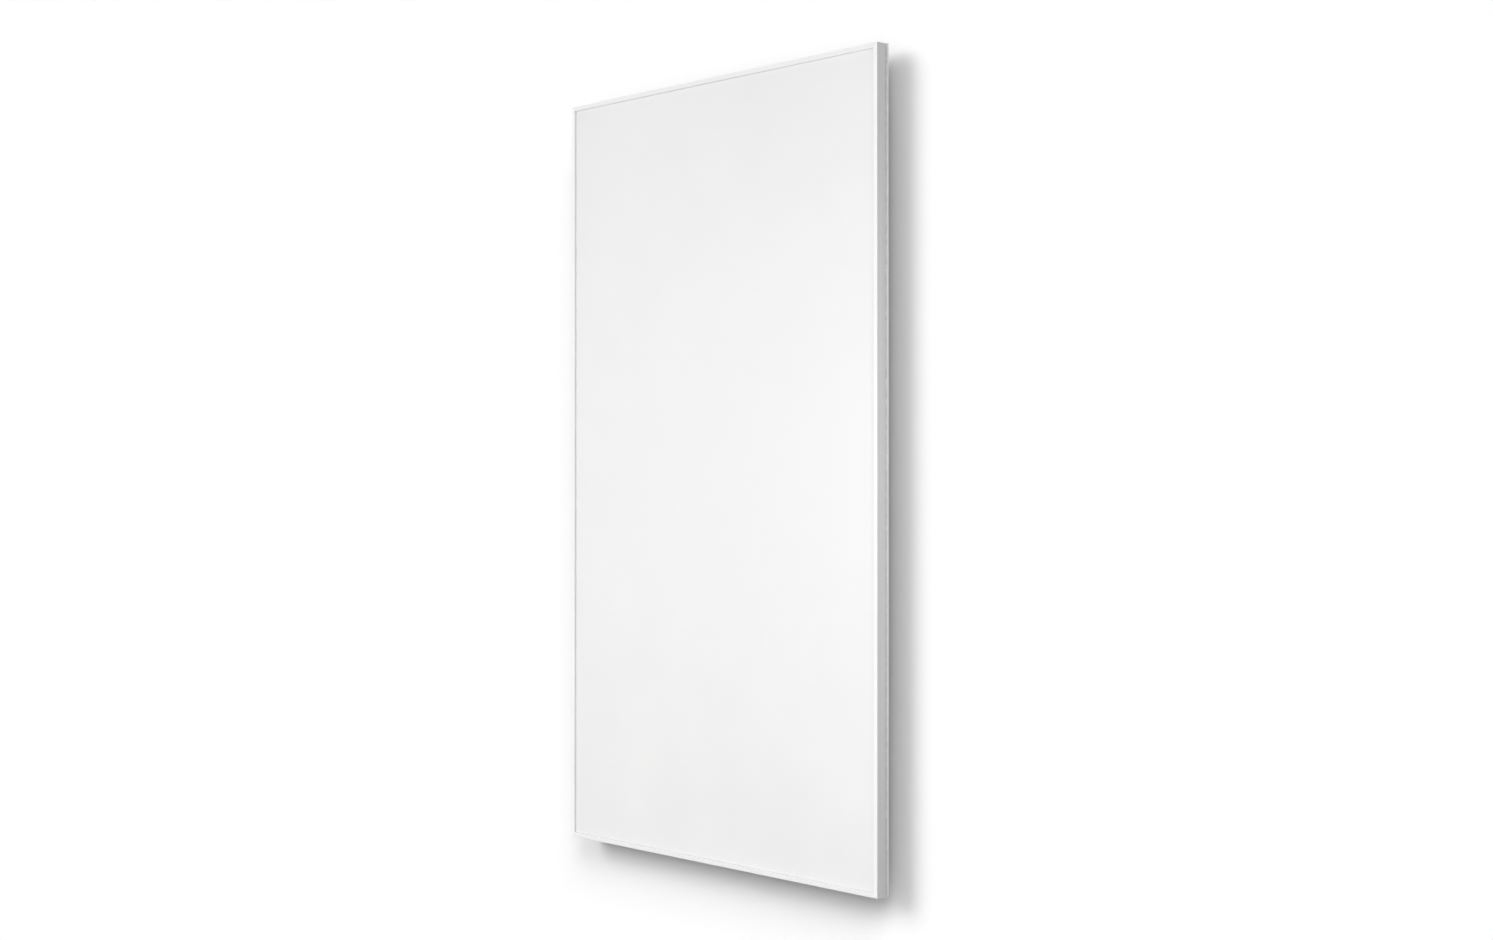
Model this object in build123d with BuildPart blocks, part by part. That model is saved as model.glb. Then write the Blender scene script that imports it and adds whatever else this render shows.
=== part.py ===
from build123d import *
import os

# Infrared panel heater hung on two wall rails. Millimetres, +Z up, the warm face looks along -Y.
# The wall is the plane y = 0. The origin is the middle of the four wall fixing holes, which is
# also the middle of the panel in width and height.

os.makedirs("parts", exist_ok=True)

# ---------------------------------------------------------------- driving dimensions

# Whole panel
PANEL_WIDTH = 600.0
PANEL_HEIGHT = 1000.0
PANEL_DEPTH = 19.0
WALL_GAP = 20.0  # wall to the frame's rear edge

# Frame extrusion, white powder-coated aluminium
FRAME_WALL = 1.4
LIP_WIDTH = 6.0  # lip in front of the plate
LIP_DEPTH = 3.0  # frame front to plate
TUBE_WIDTH = 9.0
TUBE_WALL = 1.2
FLANGE_WIDTH = 12.0  # rear flange over the back plate
FLANGE_THICKNESS = 1.4
OUTER_EDGE_RADIUS = 1.0
LIP_EDGE_RADIUS = 0.5
GROOVE_DEPTH = 0.4  # shadow groove along the outer face
GROOVE_WIDTH = 1.2
GROOVE_TO_REAR = 3.7
BEAD_PROUD = 0.4  # bead along the rear edge stands out of the outer face
BEAD_LENGTH = 2.2
BEAD_RADIUS = 0.3
MITRE_GAP = 0.1

# Corner keys in the frame's tube
KEY_ARM = 46.0
KEY_CLEARANCE = 0.1
KEY_NOSE = 2.0

# Screws through the frame's rear flange
SCREW_RADIUS = 1.45
SCREW_LENGTH = 9.5
SCREW_HEAD_RADIUS = 2.6
SCREW_HEAD_HEIGHT = 1.15
HEAD_ANGLE = 90.0
RECESS_LENGTH = 2.8
RECESS_WIDTH = 0.6
RECESS_DEPTH = 0.8
CORNER_SCREW_ALONG = 30.0  # from the panel's corner
LONG_SIDE_SCREWS = 4
SHORT_SIDE_SCREWS = 2
SCREW_CLEARANCE = 0.05

# Warm plate and what lies behind it
PLATE_THICKNESS = 0.8
SHEET_EDGE_GAP = 0.6  # room for the sheets to grow inside the frame
SHEET_CORNER_RADIUS = 1.5
GASKET_THICKNESS = 1.0
GASKET_WIDTH = 6.0
FILM_THICKNESS = 0.3
TRACK_THICKNESS = 0.2
FOIL_THICKNESS = 0.1
BOARD_EDGE_GAP = 0.8  # insulation board to the frame's tube
ELEMENT_EDGE_GAP = 2.8  # films and foil to the frame's tube
ELEMENT_CORNER_RADIUS = 3.0

# Heating track, one zigzag strip
TRACK_RUNS = 22
TRACK_WIDTH = 10.0
TRACK_BORDER = 14.0  # edge of the film to the track
TAB_WIDTH = 8.0
TAB_GAP = 6.0

# Back plate, galvanised sheet with pressed ribs
BACK_THICKNESS = 0.6
RIB_COUNT = 5
RIB_FROM_SIDE = 85.0
RIB_WIDTH = 16.0
RIB_HEIGHT = 1.0
RIB_TAPER = 30.0

# Wall rails and the hooks that drop over them
FIXING_FROM_EDGE = 150.0  # rows of wall holes, from the panel's upper and lower edge
FIXING_FROM_END = 30.0  # holes from the rail's ends
FIXING_RADIUS = 2.75
RAIL_FROM_SIDE = 80.0  # rail's ends from the panel's sides
RAIL_THICKNESS = 1.5
RAIL_REACH = 7.5  # wall to the near face of the rail's upstand
RAIL_UPSTAND = 14.0
RAIL_BEND_RADIUS = 1.75  # of the sheet's middle
RAIL_CORNER_RADIUS = 4.0
FIXING_ABOVE_SEAT = 12.0  # clear of the upstand, for the screwdriver
RAIL_ABOVE_FIXING = 10.0
HOOK_FROM_END = 70.0  # hook's middle from the rail's end
HOOK_WIDTH = 60.0
HOOK_THICKNESS = 2.0
HOOK_FLANGE = 26.0
HOOK_LIP = 10.0
HOOK_CLEARANCE = 0.6
HOOK_BEND_RADIUS = 1.5  # of the sheet's middle
HOOK_CORNER_RADIUS = 4.0
HOOK_RIVET_SPACING = 36.0
HOOK_RIVET_UP = 15.0  # above the seat
HOOK_RIVET_RADIUS = 2.0
HOOK_RIVET_HEAD_RADIUS = 4.0
RIVET_HEAD_HEIGHT = 1.2
RIVET_HEAD_ROUND = 0.8
RIVET_TAIL_HEIGHT = 1.6
RIVET_TAIL_EXTRA = 1.0  # tail is this much wider than the shank
RIVET_RELIEF = 1.5  # pocket in the insulation round each tail

# Wiring bay: a cut-away in the insulation
BAY_WIDTH = 160.0
BAY_BOTTOM = 20.0  # above the panel's lower edge
BAY_BELOW_BOX_TOP = 3.0
BAY_CORNER_RADIUS = 4.0

# Bimetal cut-outs, one in each pole, pressed on the foil by a leaf spring
CUTOUT_SPACING = 92.0
CUTOUT_CUP_RADIUS = 8.2
CUTOUT_CUP_HEIGHT = 1.6
CUTOUT_BODY_RADIUS = 7.5
CUTOUT_BODY_HEIGHT = 6.0
BLADE_WIDTH = 6.3
BLADE_THICKNESS = 0.8
BLADE_START = 4.0  # from the cut-out's middle
BLADE_END = 14.0
SPRING_THICKNESS = 0.4
SPRING_WIDTH = 5.0
SPRING_HALF_LENGTH = 8.0
RISER_THICKNESS = 0.3
RISER_OVERLAP = 4.0
RISER_SLOT_CLEARANCE = 1.0

# Leads
WIRE_RADIUS = 1.2
WIRE_BEND_RADIUS = 2.6
SOCKET_LENGTH = 7.0
SOCKET_WIDTH = 7.4
SOCKET_HEIGHT = 2.8
WIRE_HOLE_CLEARANCE = 0.1

# Terminal box on the back plate
BOX_WIDTH = 96.0
BOX_HEIGHT = 70.0
BOX_BOTTOM = 39.0  # above the panel's lower edge
BOX_FLOOR = 2.0
BOX_WALL = 2.5
BOX_BASE_DEPTH = 15.0
BOX_CORNER_RADIUS = 5.0
BOX_SEAL_THICKNESS = 1.0
BOX_LID_THICKNESS = 2.0
LID_EDGE_RADIUS = 0.8
LID_SCREW_INSET = 6.0
LID_SCREW_RADIUS = 1.3
LID_SCREW_LENGTH = 9.0
LID_SCREW_HEAD_RADIUS = 2.6
LID_SCREW_HEAD_HEIGHT = 1.2
BOSS_RADIUS = 3.4
BOX_RIVET_SPACING_X = 70.0
BOX_RIVET_FROM_END = 21.0  # from the box's upper and lower edge
BOX_RIVET_RADIUS = 1.6
BOX_RIVET_HEAD_RADIUS = 3.0

# Rubber bush for the leads
BUSH_LENGTH = 34.0
BUSH_WIDTH = 9.0
BUSH_FLANGE = 2.0
BUSH_FLANGE_THICKNESS = 1.2
BUSH_CLEARANCE = 0.1
BUSH_BELOW_TOP = 24.0  # below the top of the box

# Terminal block
BLOCK_PITCH = 11.0
BLOCK_WAYS = 3
BLOCK_WIDTH = 36.0
BLOCK_HEIGHT = 14.0
BLOCK_DEPTH = 10.0
BLOCK_BELOW_TOP = 41.0
INSERT_SIDE = 5.0
INSERT_LENGTH = 12.0
INSERT_BORE_RADIUS = 1.7
INSERT_CLEARANCE = 0.05
ENTRY_HEIGHT = 5.0  # wire centre above the box floor
TERMINAL_SCREW_SPACING = 7.0
TERMINAL_SCREW_RADIUS = 1.25
TERMINAL_HEAD_RADIUS = 1.9
TERMINAL_HEAD_HEIGHT = 1.4
TERMINAL_WELL_RADIUS = 2.2
WIRE_IN_BLOCK = 5.0

# Protective earth
EARTH_X = 30.0
EARTH_BELOW_TOP = 13.0
STUD_RADIUS = 2.0
STUD_HEAD_RADIUS = 4.0
STUD_HEAD_HEIGHT = 1.0
STUD_LENGTH = 11.0  # from the back plate's inner face
WASHER_RADIUS = 4.5
WASHER_THICKNESS = 0.8
LUG_RADIUS = 4.0
LUG_THICKNESS = 0.8
LUG_BARREL_RADIUS = 1.6
LUG_BARREL_LENGTH = 8.0
NUT_FLATS = 7.0
NUT_HEIGHT = 3.2
STUD_CLEARANCE = 0.05

# Cable gland in the box's lower wall
GLAND_BOSS = 8.0
GLAND_BOSS_WIDTH = 22.0
GLAND_THREAD_RADIUS = 6.0
GLAND_FLATS = 14.0
GLAND_HEX_HEIGHT = 4.0
GLAND_NECK_RADIUS = 6.0
GLAND_NECK_LENGTH = 10.0
GLAND_PASSAGE_RADIUS = 4.0
GLAND_SEAL_RADIUS = 5.0
GLAND_SEAL_LENGTH = 9.0
CABLE_RADIUS = 3.2
CAP_EXIT_RADIUS = 4.0
CAP_FLOOR = 2.0
CAP_HEX_GAP = 1.0
CAP_CLEARANCE = 0.1
CAP_EDGE_CHAMFER = 1.0

# ---------------------------------------------------------------- places worked out from them

FRONT_Y = -(WALL_GAP + PANEL_DEPTH)
PLATE_REAR = LIP_DEPTH + PLATE_THICKNESS
TUBE_FRONT = PLATE_REAR + GASKET_THICKNESS
BACK_REAR = PANEL_DEPTH - FLANGE_THICKNESS
BACK_FRONT = BACK_REAR - BACK_THICKNESS
FRONT_FILM_REAR = PLATE_REAR + FILM_THICKNESS
TRACK_REAR = FRONT_FILM_REAR + TRACK_THICKNESS
REAR_FILM_REAR = TRACK_REAR + FILM_THICKNESS
FOIL_REAR = REAR_FILM_REAR + FOIL_THICKNESS

FACE = BEAD_PROUD  # outer face of the frame, inward from the bead's crest
SHEET_EDGE = FACE + FRAME_WALL + SHEET_EDGE_GAP
TUBE_INNER = FACE + TUBE_WIDTH
SHEET_WIDTH = PANEL_WIDTH - 2 * SHEET_EDGE
SHEET_HEIGHT = PANEL_HEIGHT - 2 * SHEET_EDGE
BOARD_WIDTH = PANEL_WIDTH - 2 * (TUBE_INNER + BOARD_EDGE_GAP)
BOARD_HEIGHT = PANEL_HEIGHT - 2 * (TUBE_INNER + BOARD_EDGE_GAP)
FILM_WIDTH = PANEL_WIDTH - 2 * (TUBE_INNER + ELEMENT_EDGE_GAP)
FILM_HEIGHT = PANEL_HEIGHT - 2 * (TUBE_INNER + ELEMENT_EDGE_GAP)

BACK_Y = FRONT_Y + BACK_REAR  # rear face of the back plate
BOX_FLOOR_Y = BACK_Y + BOX_FLOOR
BOX_RIM_Y = BACK_Y + BOX_BASE_DEPTH
BOX_LID_Y = BOX_RIM_Y + BOX_SEAL_THICKNESS
BOX_REAR_Y = BOX_LID_Y + BOX_LID_THICKNESS
BOX_LOW_Z = BOX_BOTTOM - PANEL_HEIGHT / 2
BOX_TOP_Z = BOX_LOW_Z + BOX_HEIGHT
BOX_MIDDLE_Z = BOX_LOW_Z + BOX_HEIGHT / 2
BUSH_Z = BOX_TOP_Z - BUSH_BELOW_TOP
BLOCK_Z = BOX_TOP_Z - BLOCK_BELOW_TOP
EARTH_Z = BOX_TOP_Z - EARTH_BELOW_TOP
ENTRY_Y = BOX_FLOOR_Y + ENTRY_HEIGHT
GLAND_Y = (BACK_Y + BOX_RIM_Y) / 2

RAIL_LENGTH = PANEL_WIDTH - 2 * RAIL_FROM_SIDE
FIXING_SPACING_X = RAIL_LENGTH - 2 * FIXING_FROM_END
FIXING_SPACING_Z = PANEL_HEIGHT - 2 * FIXING_FROM_EDGE
HOOK_SPACING = RAIL_LENGTH - 2 * HOOK_FROM_END
RIB_LENGTH = PANEL_WIDTH - 2 * RIB_FROM_SIDE
RIB_PITCH = FIXING_SPACING_Z / (RIB_COUNT + 1)

BAY_LOW_Z = BAY_BOTTOM - PANEL_HEIGHT / 2
BAY_HIGH_Z = BOX_TOP_Z - BAY_BELOW_BOX_TOP
TAB_LOW_Z = TRACK_BORDER - FILM_HEIGHT / 2
TAB_Z = TAB_LOW_Z + TAB_WIDTH / 2
TRACK_X = FILM_WIDTH / 2 - TRACK_BORDER - TRACK_WIDTH / 2  # middle of the outermost run
BLADE_FRONT = FOIL_REAR + CUTOUT_CUP_HEIGHT + CUTOUT_BODY_HEIGHT
WIRE_DEPTH = BLADE_FRONT + BLADE_THICKNESS / 2
RISER_X = CUTOUT_SPACING / 2 + BLADE_END + RISER_THICKNESS / 2

ROWS = {"upper": FIXING_SPACING_Z / 2, "lower": -FIXING_SPACING_Z / 2}
SIDES = {"left": -1, "right": 1}
LOW = (Align.MIN, Align.MIN)
TOP_DOWN = (Align.CENTER, Align.CENTER, Align.MAX)
BOTTOM_UP = (Align.CENTER, Align.CENTER, Align.MIN)


def front_plane(depth):
    """Plane at this depth behind the frame's front edge; x right, y up, normal to the front."""
    return Plane(origin=(0, FRONT_Y + depth, 0), x_dir=(1, 0, 0), z_dir=(0, -1, 0))


def rear_plane(y):
    """Plane at this y, seen from the wall; x left, y up, normal to the wall."""
    return Plane(origin=(0, y, 0), x_dir=(-1, 0, 0), z_dir=(0, 1, 0))


def level_plane(z):
    """Level plane at this height."""
    return Plane.XY.offset(z)


def corners(spacing_x, spacing_y, middle_y=0):
    """The four corners of a rectangle about the middle, in a vertical plane."""
    return [
        (side_x * spacing_x / 2, middle_y + side_y * spacing_y / 2)
        for side_x in (-1, 1)
        for side_y in (-1, 1)
    ]


def span_rectangle(start, end, mode=Mode.ADD):
    """Rectangle between two opposite corners of the current sketch."""
    with Locations(start):
        Rectangle(end[0] - start[0], end[1] - start[1], align=LOW, mode=mode)


SCREW_LINE = FACE + TUBE_WIDTH / 2  # screws stand over the middle of the tube
SIDE_X = PANEL_WIDTH / 2 - SCREW_LINE
SIDE_Z = PANEL_HEIGHT / 2 - SCREW_LINE
CORNER_X = PANEL_WIDTH / 2 - CORNER_SCREW_ALONG
CORNER_Z = PANEL_HEIGHT / 2 - CORNER_SCREW_ALONG
LONG_PITCH = 2 * CORNER_Z / (LONG_SIDE_SCREWS + 1)
SHORT_PITCH = 2 * CORNER_X / (SHORT_SIDE_SCREWS + 1)
CORNER_SCREWS = corners(2 * SIDE_X, 2 * CORNER_Z) + corners(2 * CORNER_X, 2 * SIDE_Z)
EDGE_SCREWS = [
    (side * SIDE_X, LONG_PITCH * (step + 1) - CORNER_Z)
    for side in (-1, 1)
    for step in range(LONG_SIDE_SCREWS)
] + [
    (SHORT_PITCH * (step + 1) - CORNER_X, side * SIDE_Z)
    for side in (-1, 1)
    for step in range(SHORT_SIDE_SCREWS)
]
HOOK_RIVETS = [
    (side * HOOK_SPACING / 2 + offset, row - FIXING_ABOVE_SEAT + HOOK_RIVET_UP)
    for side in (-1, 1)
    for offset in (-HOOK_RIVET_SPACING / 2, HOOK_RIVET_SPACING / 2)
    for row in ROWS.values()
]
BOX_RIVETS = corners(
    BOX_RIVET_SPACING_X, BOX_HEIGHT - 2 * BOX_RIVET_FROM_END, BOX_MIDDLE_Z
)
LID_SCREWS = corners(
    BOX_WIDTH - 2 * LID_SCREW_INSET, BOX_HEIGHT - 2 * LID_SCREW_INSET, BOX_MIDDLE_Z
)
WAY_X = [BLOCK_PITCH * (way - (BLOCK_WAYS - 1) / 2) for way in range(BLOCK_WAYS)]
TERMINAL_SCREWS = [
    (x, BLOCK_Z + side * TERMINAL_SCREW_SPACING / 2) for x in WAY_X for side in (-1, 1)
]

# ---------------------------------------------------------------- frame members

# One extrusion, cut at 45 degrees. In its section x runs inward from the rear bead's crest, and
# y from the front edge to the rear. The lip holds the warm plate, the closed tube takes the
# corner keys, and the back plate lies in the slot between the tube and the rear flange.
for name, inward, length, reach in (
    ("frame_left", Vector(1, 0, 0), PANEL_HEIGHT, PANEL_WIDTH / 2),
    ("frame_right", Vector(-1, 0, 0), PANEL_HEIGHT, PANEL_WIDTH / 2),
    ("frame_bottom", Vector(0, 0, 1), PANEL_WIDTH, PANEL_HEIGHT / 2),
    ("frame_top", Vector(0, 0, -1), PANEL_WIDTH, PANEL_HEIGHT / 2),
):
    middle = Vector(0, FRONT_Y, 0) - inward * reach
    section_plane = Plane(origin=middle, x_dir=inward, z_dir=inward.cross(Vector(0, 1, 0)))
    outline_plane = Plane(origin=middle, x_dir=inward, z_dir=(0, -1, 0))
    with BuildPart() as member:
        with BuildSketch(section_plane) as section:
            span_rectangle((FACE, 0), (FACE + FRAME_WALL, PANEL_DEPTH))
            span_rectangle((FACE, 0), (FACE + LIP_WIDTH, FRAME_WALL))
            span_rectangle((FACE + LIP_WIDTH - FRAME_WALL, 0), (FACE + LIP_WIDTH, LIP_DEPTH))
            span_rectangle((FACE, TUBE_FRONT), (TUBE_INNER, BACK_FRONT))
            span_rectangle((FACE, BACK_REAR), (FACE + FLANGE_WIDTH, PANEL_DEPTH))
            span_rectangle((0, PANEL_DEPTH - BEAD_LENGTH), (FACE, PANEL_DEPTH))
            span_rectangle(
                (FACE + FRAME_WALL, TUBE_FRONT + TUBE_WALL),
                (TUBE_INNER - TUBE_WALL, BACK_FRONT - TUBE_WALL),
                mode=Mode.SUBTRACT,
            )
            span_rectangle(
                (FACE, PANEL_DEPTH - GROOVE_TO_REAR - GROOVE_WIDTH),
                (FACE + GROOVE_DEPTH, PANEL_DEPTH - GROOVE_TO_REAR),
                mode=Mode.SUBTRACT,
            )
            front_points = section.vertices().group_by(Axis.Y)[0].sort_by(Axis.X)
            fillet(front_points[0], OUTER_EDGE_RADIUS)
            fillet(section.vertices().group_by(Axis.Y)[0].sort_by(Axis.X)[-1], LIP_EDGE_RADIUS)
            fillet(section.vertices().group_by(Axis.X)[0], BEAD_RADIUS)
        extrude(amount=length / 2, both=True)
        with BuildSketch(outline_plane) as outline:
            inner = FACE + FLANGE_WIDTH
            end = length / 2 - MITRE_GAP / 2
            with BuildLine():
                Polyline((0, -end), (inner, inner - end), (inner, end - inner), (0, end), close=True)
            make_face()
        extrude(amount=-PANEL_DEPTH, mode=Mode.INTERSECT)
        with Locations(rear_plane(-WALL_GAP)):
            with Locations(*CORNER_SCREWS, *EDGE_SCREWS):
                CounterSinkHole(
                    SCREW_RADIUS + SCREW_CLEARANCE,
                    SCREW_HEAD_RADIUS + SCREW_CLEARANCE,
                    PANEL_DEPTH - BACK_FRONT + TUBE_WALL + SCREW_CLEARANCE,
                    HEAD_ANGLE,
                )
    member.part.label = name
    export_step(member.part, f"parts/{name}.step")

# ---------------------------------------------------------------- corner keys

# Cast L-shaped keys fill the tube's hollow at each corner and take the corner screws.
KEY_OUT = FACE + FRAME_WALL + KEY_CLEARANCE
KEY_IN = TUBE_INNER - TUBE_WALL - KEY_CLEARANCE
KEY_FRONT = TUBE_FRONT + TUBE_WALL + KEY_CLEARANCE
KEY_REAR = BACK_FRONT - TUBE_WALL - KEY_CLEARANCE
for row, up in (("bottom", -1), ("top", 1)):
    for side, across in SIDES.items():
        corner = Vector(across * PANEL_WIDTH / 2, FRONT_Y + KEY_REAR, up * PANEL_HEIGHT / 2)
        key_plane = Plane(origin=corner, x_dir=(-across, 0, 0), z_dir=(0, -across * up, 0))
        with BuildPart() as corner_key:
            with BuildSketch(key_plane) as key_outline:
                with BuildLine():
                    Polyline(
                        (KEY_OUT + KEY_NOSE, KEY_OUT),
                        (KEY_ARM, KEY_OUT),
                        (KEY_ARM, KEY_IN),
                        (KEY_IN, KEY_IN),
                        (KEY_IN, KEY_ARM),
                        (KEY_OUT, KEY_ARM),
                        (KEY_OUT, KEY_OUT + KEY_NOSE),
                        close=True,
                    )
                make_face()
            extrude(amount=across * up * (KEY_REAR - KEY_FRONT))
            with Locations(rear_plane(FRONT_Y + KEY_REAR)):
                with Locations(*CORNER_SCREWS):
                    Hole(SCREW_RADIUS + SCREW_CLEARANCE, KEY_REAR - KEY_FRONT)
        name = f"corner_key_{row}_{side}"
        corner_key.part.label = name
        export_step(corner_key.part, f"parts/{name}.step")

# ---------------------------------------------------------------- frame screws

# Countersunk, cross-recessed, flush with the rear flange. They clamp the back plate as well.
for name, places in (("corner_screws", CORNER_SCREWS), ("back_plate_screws", EDGE_SCREWS)):
    with BuildPart() as screws:
        with Locations(rear_plane(-WALL_GAP)):
            with Locations(*places):
                Cylinder(SCREW_RADIUS, SCREW_LENGTH, align=TOP_DOWN)
                Cone(SCREW_RADIUS, SCREW_HEAD_RADIUS, SCREW_HEAD_HEIGHT, align=TOP_DOWN)
                Box(RECESS_LENGTH, RECESS_WIDTH, RECESS_DEPTH, align=TOP_DOWN, mode=Mode.SUBTRACT)
                Box(RECESS_WIDTH, RECESS_LENGTH, RECESS_DEPTH, align=TOP_DOWN, mode=Mode.SUBTRACT)
    screws.part.label = name
    export_step(screws.part, f"parts/{name}.step")

# ---------------------------------------------------------------- warm plate and element

# Enamelled steel plate, free to grow sideways under the frame's lip.
with BuildPart() as radiating_plate:
    with BuildSketch(front_plane(PLATE_REAR)):
        RectangleRounded(SHEET_WIDTH, SHEET_HEIGHT, SHEET_CORNER_RADIUS)
    extrude(amount=PLATE_THICKNESS)
radiating_plate.part.label = "radiating_plate"
export_step(radiating_plate.part, "parts/radiating_plate.step")

# Silicone strip all round, between the plate's edge and the frame's tube.
with BuildPart() as plate_gasket:
    with BuildSketch(front_plane(TUBE_FRONT)):
        RectangleRounded(SHEET_WIDTH, SHEET_HEIGHT, SHEET_CORNER_RADIUS)
        Rectangle(SHEET_WIDTH - 2 * GASKET_WIDTH, SHEET_HEIGHT - 2 * GASKET_WIDTH, mode=Mode.SUBTRACT)
    extrude(amount=GASKET_THICKNESS)
plate_gasket.part.label = "plate_gasket"
export_step(plate_gasket.part, "parts/plate_gasket.step")

# Polyester film between the plate and the heating track.
with BuildPart() as element_front_film:
    with BuildSketch(front_plane(FRONT_FILM_REAR)):
        RectangleRounded(FILM_WIDTH, FILM_HEIGHT, ELEMENT_CORNER_RADIUS)
    extrude(amount=FILM_THICKNESS)
element_front_film.part.label = "element_front_film"
export_step(element_front_film.part, "parts/element_front_film.step")

# The track zigzags up and down, and both of its ends come out at the bottom.
TRACK_PITCH = 2 * TRACK_X / (TRACK_RUNS - 1)
TRACK_HIGH = FILM_HEIGHT / 2 - TRACK_BORDER
TAB_HIGH_Z = TAB_LOW_Z + TAB_WIDTH
TRACK_LOW = TAB_HIGH_Z + TAB_GAP
with BuildPart() as heating_track:
    with BuildSketch(front_plane(TRACK_REAR)):
        for run in range(TRACK_RUNS):
            left = run * TRACK_PITCH - TRACK_X - TRACK_WIDTH / 2
            low = TAB_HIGH_Z if run in (0, TRACK_RUNS - 1) else TRACK_LOW
            span_rectangle((left, low), (left + TRACK_WIDTH, TRACK_HIGH))
            if run < TRACK_RUNS - 1:
                turn = TRACK_HIGH - TRACK_WIDTH if run % 2 == 0 else TRACK_LOW
                span_rectangle((left, turn), (left + TRACK_PITCH + TRACK_WIDTH, turn + TRACK_WIDTH))
    extrude(amount=TRACK_THICKNESS)
heating_track.part.label = "heating_track"
export_step(heating_track.part, "parts/heating_track.step")

# Copper foil from each end of the track to the bay, folded up to the cut-out's blade.
for name, across in (("element_tab_live", -1), ("element_tab_neutral", 1)):
    outer = across * (TRACK_X + TRACK_WIDTH / 2)
    inner = across * (RISER_X - RISER_THICKNESS / 2)
    with BuildPart() as element_tab:
        with BuildSketch(front_plane(TRACK_REAR)):
            span_rectangle((min(outer, inner), TAB_LOW_Z), (max(outer, inner), TAB_HIGH_Z))
        extrude(amount=TRACK_THICKNESS)
        with BuildSketch(level_plane(TAB_LOW_Z)):
            fold = across * (CUTOUT_SPACING / 2 + BLADE_END - RISER_OVERLAP)
            rear = FRONT_Y + BLADE_FRONT
            span_rectangle(
                (across * RISER_X - RISER_THICKNESS / 2, FRONT_Y + FRONT_FILM_REAR),
                (across * RISER_X + RISER_THICKNESS / 2, rear),
            )
            span_rectangle(
                (min(fold, across * RISER_X), rear - RISER_THICKNESS),
                (max(fold, across * RISER_X), rear),
            )
        extrude(amount=TAB_WIDTH)
    element_tab.part.label = name
    export_step(element_tab.part, f"parts/{name}.step")

# Second film and the foil that turns the heat forward; the risers pass through their slots.
SLOT_WIDTH = RISER_THICKNESS + 2 * RISER_SLOT_CLEARANCE
SLOT_HEIGHT = TAB_WIDTH + 2 * RISER_SLOT_CLEARANCE
for name, depth, thickness in (
    ("element_rear_film", REAR_FILM_REAR, FILM_THICKNESS),
    ("reflector_foil", FOIL_REAR, FOIL_THICKNESS),
):
    with BuildPart() as element_sheet:
        with BuildSketch(front_plane(depth)):
            RectangleRounded(FILM_WIDTH, FILM_HEIGHT, ELEMENT_CORNER_RADIUS)
            with Locations((-RISER_X, TAB_Z), (RISER_X, TAB_Z)):
                Rectangle(SLOT_WIDTH, SLOT_HEIGHT, mode=Mode.SUBTRACT)
        extrude(amount=thickness)
    element_sheet.part.label = name
    export_step(element_sheet.part, f"parts/{name}.step")

# Fibre board fills the box, with a bay for the wiring and a dimple behind each hook rivet.
with BuildPart() as insulation_board:
    with BuildSketch(front_plane(BACK_FRONT)):
        RectangleRounded(BOARD_WIDTH, BOARD_HEIGHT, ELEMENT_CORNER_RADIUS)
        with Locations((0, (BAY_LOW_Z + BAY_HIGH_Z) / 2)):
            RectangleRounded(
                BAY_WIDTH, BAY_HIGH_Z - BAY_LOW_Z, BAY_CORNER_RADIUS, mode=Mode.SUBTRACT
            )
    extrude(amount=BACK_FRONT - FOIL_REAR)
    with Locations(rear_plane(FRONT_Y + BACK_FRONT)):
        with Locations(*HOOK_RIVETS):
            Hole(HOOK_RIVET_HEAD_RADIUS + RIVET_RELIEF, RIVET_TAIL_HEIGHT + RIVET_RELIEF)
insulation_board.part.label = "insulation_board"
export_step(insulation_board.part, "parts/insulation_board.step")

# ---------------------------------------------------------------- back plate

# Galvanised sheet, its edges in the frame's slot, stiffened by ribs pressed out to the rear.
with BuildPart() as back_plate:
    with BuildSketch(front_plane(BACK_REAR)):
        RectangleRounded(SHEET_WIDTH, SHEET_HEIGHT, SHEET_CORNER_RADIUS)
    extrude(amount=BACK_THICKNESS)
    with BuildSketch(rear_plane(BACK_Y)):
        with GridLocations(0, RIB_PITCH, 1, RIB_COUNT):
            SlotOverall(RIB_LENGTH, RIB_WIDTH)
    extrude(amount=RIB_HEIGHT, taper=RIB_TAPER)
    with BuildSketch(rear_plane(BACK_Y - BACK_THICKNESS)):
        with GridLocations(0, RIB_PITCH, 1, RIB_COUNT):
            SlotOverall(RIB_LENGTH - 2 * BACK_THICKNESS, RIB_WIDTH - 2 * BACK_THICKNESS)
    extrude(amount=RIB_HEIGHT, taper=RIB_TAPER, mode=Mode.SUBTRACT)
    with Locations(rear_plane(BACK_Y)):
        with Locations(*CORNER_SCREWS, *EDGE_SCREWS):
            Hole(SCREW_RADIUS + SCREW_CLEARANCE, BACK_THICKNESS)
        with Locations(*HOOK_RIVETS):
            Hole(HOOK_RIVET_RADIUS + SCREW_CLEARANCE, BACK_THICKNESS)
        with Locations(*BOX_RIVETS):
            Hole(BOX_RIVET_RADIUS + SCREW_CLEARANCE, BACK_THICKNESS)
        with Locations((-EARTH_X, EARTH_Z)):
            Hole(STUD_RADIUS + STUD_CLEARANCE, BACK_THICKNESS)
    with BuildSketch(front_plane(BACK_REAR)):
        with Locations((0, BUSH_Z)):
            SlotOverall(BUSH_LENGTH, BUSH_WIDTH)
    extrude(amount=BACK_THICKNESS, mode=Mode.SUBTRACT)
back_plate.part.label = "back_plate"
export_step(back_plate.part, "parts/back_plate.step")

# ---------------------------------------------------------------- wall rails and hooks

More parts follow.
